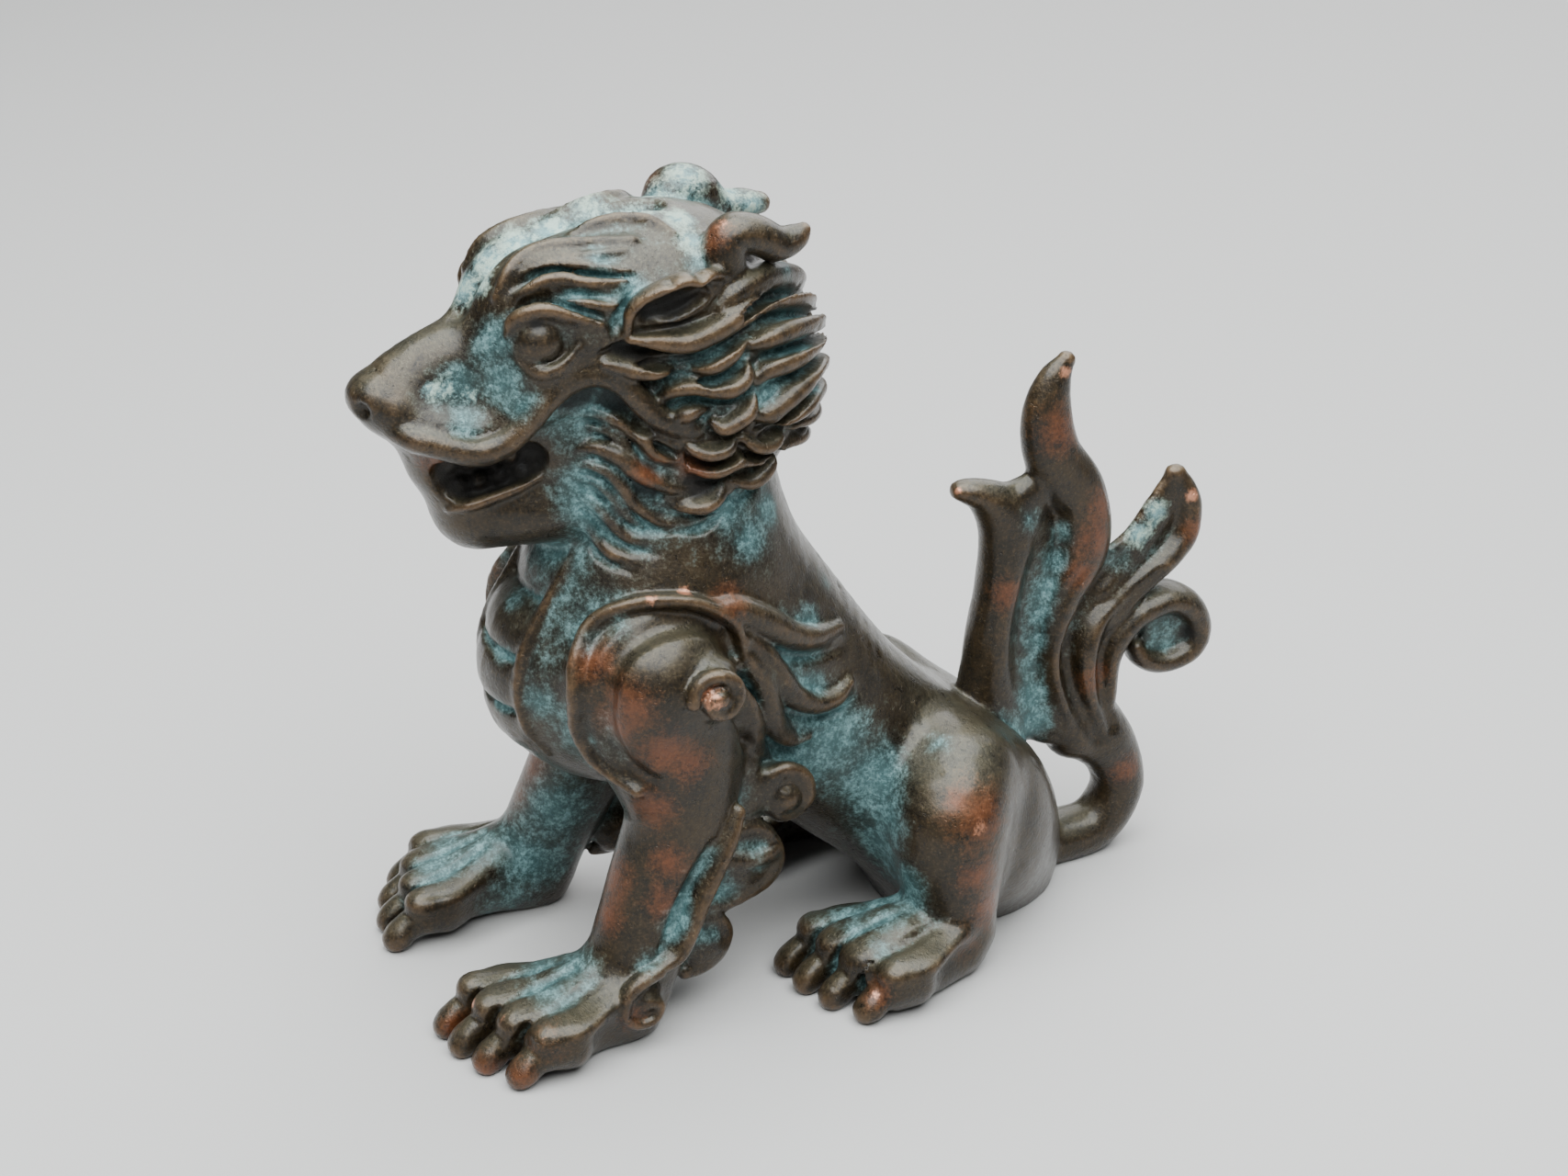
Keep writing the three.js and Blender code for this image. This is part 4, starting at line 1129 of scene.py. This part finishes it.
    # Fine pits and grain
    pits = rise(tree, noise(tree, where, 0.7, detail=2), 0.62, 0.72)
    grain = plus(pits, -0.8, plus(mottle, 0.8, times(speckle, 0.8)))
    bump = node(tree, "ShaderNodeBump", {"Strength": 0.65, "Distance": 0.18 * MM, "Height": grain})
    tree.links.new(bump.outputs["Normal"], shader.inputs["Normal"])
    return material


def casting_skin_tree():
    """Gives a smooth model the skin of a sand casting: a slow unevenness, a fine grain and small pits."""
    tree = bpy.data.node_groups.new("casting skin", "GeometryNodeTree")
    numbers = ("Swell depth", "Swell size", "Grain depth", "Grain size", "Pit depth", "Pit spacing", "Seed")
    kinds = {"Casting": "NodeSocketGeometry"}
    kinds.update(dict.fromkeys(numbers, "NodeSocketFloat"))
    kinds["Finish"] = "NodeSocketMaterial"
    sockets = {
        name: tree.interface.new_socket(name, in_out="INPUT", socket_type=kind).identifier
        for name, kind in kinds.items()
    }
    tree.interface.new_socket("Casting", in_out="OUTPUT", socket_type="NodeSocketGeometry")
    given = node(tree, "NodeGroupInput").outputs
    where = node(tree, "GeometryNodeInputPosition").outputs[0]

    def cloud(depth, size, detail):
        inputs = {
            "Vector": where,
            "W": given["Seed"],
            "Scale": maths(tree, "DIVIDE", 1, given[size]),
            "Detail": detail,
        }
        clouds = node(tree, "ShaderNodeTexNoise", inputs, noise_dimensions="4D").outputs["Fac"]
        return maths(tree, "MULTIPLY", maths(tree, "SUBTRACT", clouds, 0.5), given[depth])

    spread = {
        "Vector": where,
        "W": given["Seed"],
        "Scale": maths(tree, "DIVIDE", 1, given["Pit spacing"]),
    }
    away = node(tree, "ShaderNodeTexVoronoi", spread, voronoi_dimensions="4D").outputs["Distance"]
    sunk = maths(tree, "SUBTRACT", rise(tree, away, 0.12, 0.3), 1)
    pit = maths(tree, "MULTIPLY", sunk, given["Pit depth"])
    out = maths(tree, "ADD", cloud("Swell depth", "Swell size", 2), cloud("Grain depth", "Grain size", 3))
    out = maths(tree, "ADD", out, pit)
    normal = node(tree, "GeometryNodeInputNormal").outputs["Normal"]
    offset = node(tree, "ShaderNodeVectorMath", {0: normal, "Scale": out}, operation="SCALE").outputs[0]
    moved = node(tree, "GeometryNodeSetPosition", {"Geometry": given["Casting"], "Offset": offset})
    real = node(tree, "GeometryNodeRealizeInstances", {"Geometry": moved.outputs[0]})
    finish = {"Geometry": real.outputs[0], "Material": given["Finish"]}
    finished = node(tree, "GeometryNodeSetMaterial", finish)
    node(tree, "NodeGroupOutput", {"Casting": finished.outputs[0]})
    return tree, sockets


def give_skin(piece, finish):
    tree, sockets = casting_skin_tree()
    skin = piece.modifiers.new("casting skin", "NODES")
    skin.node_group = tree
    sizes = {
        "Swell depth": 0.3 * MM,
        "Swell size": 7 * MM,
        "Grain depth": 0.14 * MM,
        "Grain size": 1.1 * MM,
        "Pit depth": 0.15 * MM,
        "Pit spacing": 2.2 * MM,
        "Seed": 4.0,
        "Finish": finish,
    }
    for name, value in sizes.items():
        skin[sockets[name]] = value
    applied(piece)


def place_camera():
    turn, rise_angle = math.radians(CAMERA_TURN), math.radians(CAMERA_RISE)
    level = math.cos(rise_angle)
    back = Vector((math.sin(turn) * level, -math.cos(turn) * level, math.sin(rise_angle)))
    aim = (Vector(CAMERA_AIM) - Vector((*FOOTPRINT_MIDDLE, 0))) * MM
    lens = bpy.data.cameras.new("camera")
    lens.lens = CAMERA_LENS
    lens.sensor_width = CAMERA_SENSOR
    lens.clip_start = 0.01
    camera = linked("camera", lens)
    camera.location = aim + back * CAMERA_DISTANCE * MM
    camera.rotation_euler = back.to_track_quat("Z", "Y").to_euler()
    bpy.context.scene.camera = camera


def area_light(name, place, aim, size, power, tint=(1, 1, 1)):
    lamp = bpy.data.lights.new(name, "AREA")
    lamp.shape = "DISK"
    lamp.size = size
    lamp.energy = power
    lamp.color = tint
    light = linked(name, lamp)
    light.location = place
    light.rotation_euler = (Vector(place) - Vector(aim)).to_track_quat("Z", "Y").to_euler()


def light_studio():
    """A wide overcast sky overhead, with a weaker one behind the figure and a faint fill in front."""
    middle = (0, 0, 0.045)
    area_light("sky", (0.12, -0.06, 0.6), middle, 0.95, 19, (0.94, 0.98, 1))
    area_light("back sky", (-0.4, 0.4, 0.5), middle, 0.8, 5, (0.97, 0.98, 1))
    area_light("front fill", (0.5, -0.4, 0.35), middle, 0.5, 0.3)
    world = bpy.data.worlds.new("studio")
    bpy.context.scene.world = world
    world.use_nodes = True
    background = world.node_tree.nodes["Background"]
    background.inputs["Color"].default_value = (0.8, 0.86, 0.9, 1)
    background.inputs["Strength"].default_value = 0.1


def lay_floor():
    half = 3  # metres
    corners = np.array([(-half, -half, 0), (half, -half, 0), (half, half, 0), (-half, half, 0)], float)
    floor = linked("floor", mesh_from("floor", corners, np.array([(0, 1, 2, 3)])))
    material = bpy.data.materials.new("pale_floor")
    material.use_nodes = True
    shader = material.node_tree.nodes["Principled BSDF"]
    shader.inputs["Base Color"].default_value = (0.42, 0.412, 0.4, 1)
    shader.inputs["Roughness"].default_value = 0.8
    floor.data.materials.append(material)


place_camera()
light_studio()
lay_floor()
beast = casting_piece(sculpt())
give_skin(beast, patinated_brass())
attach(beast, "root")
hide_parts("mythical_beast")
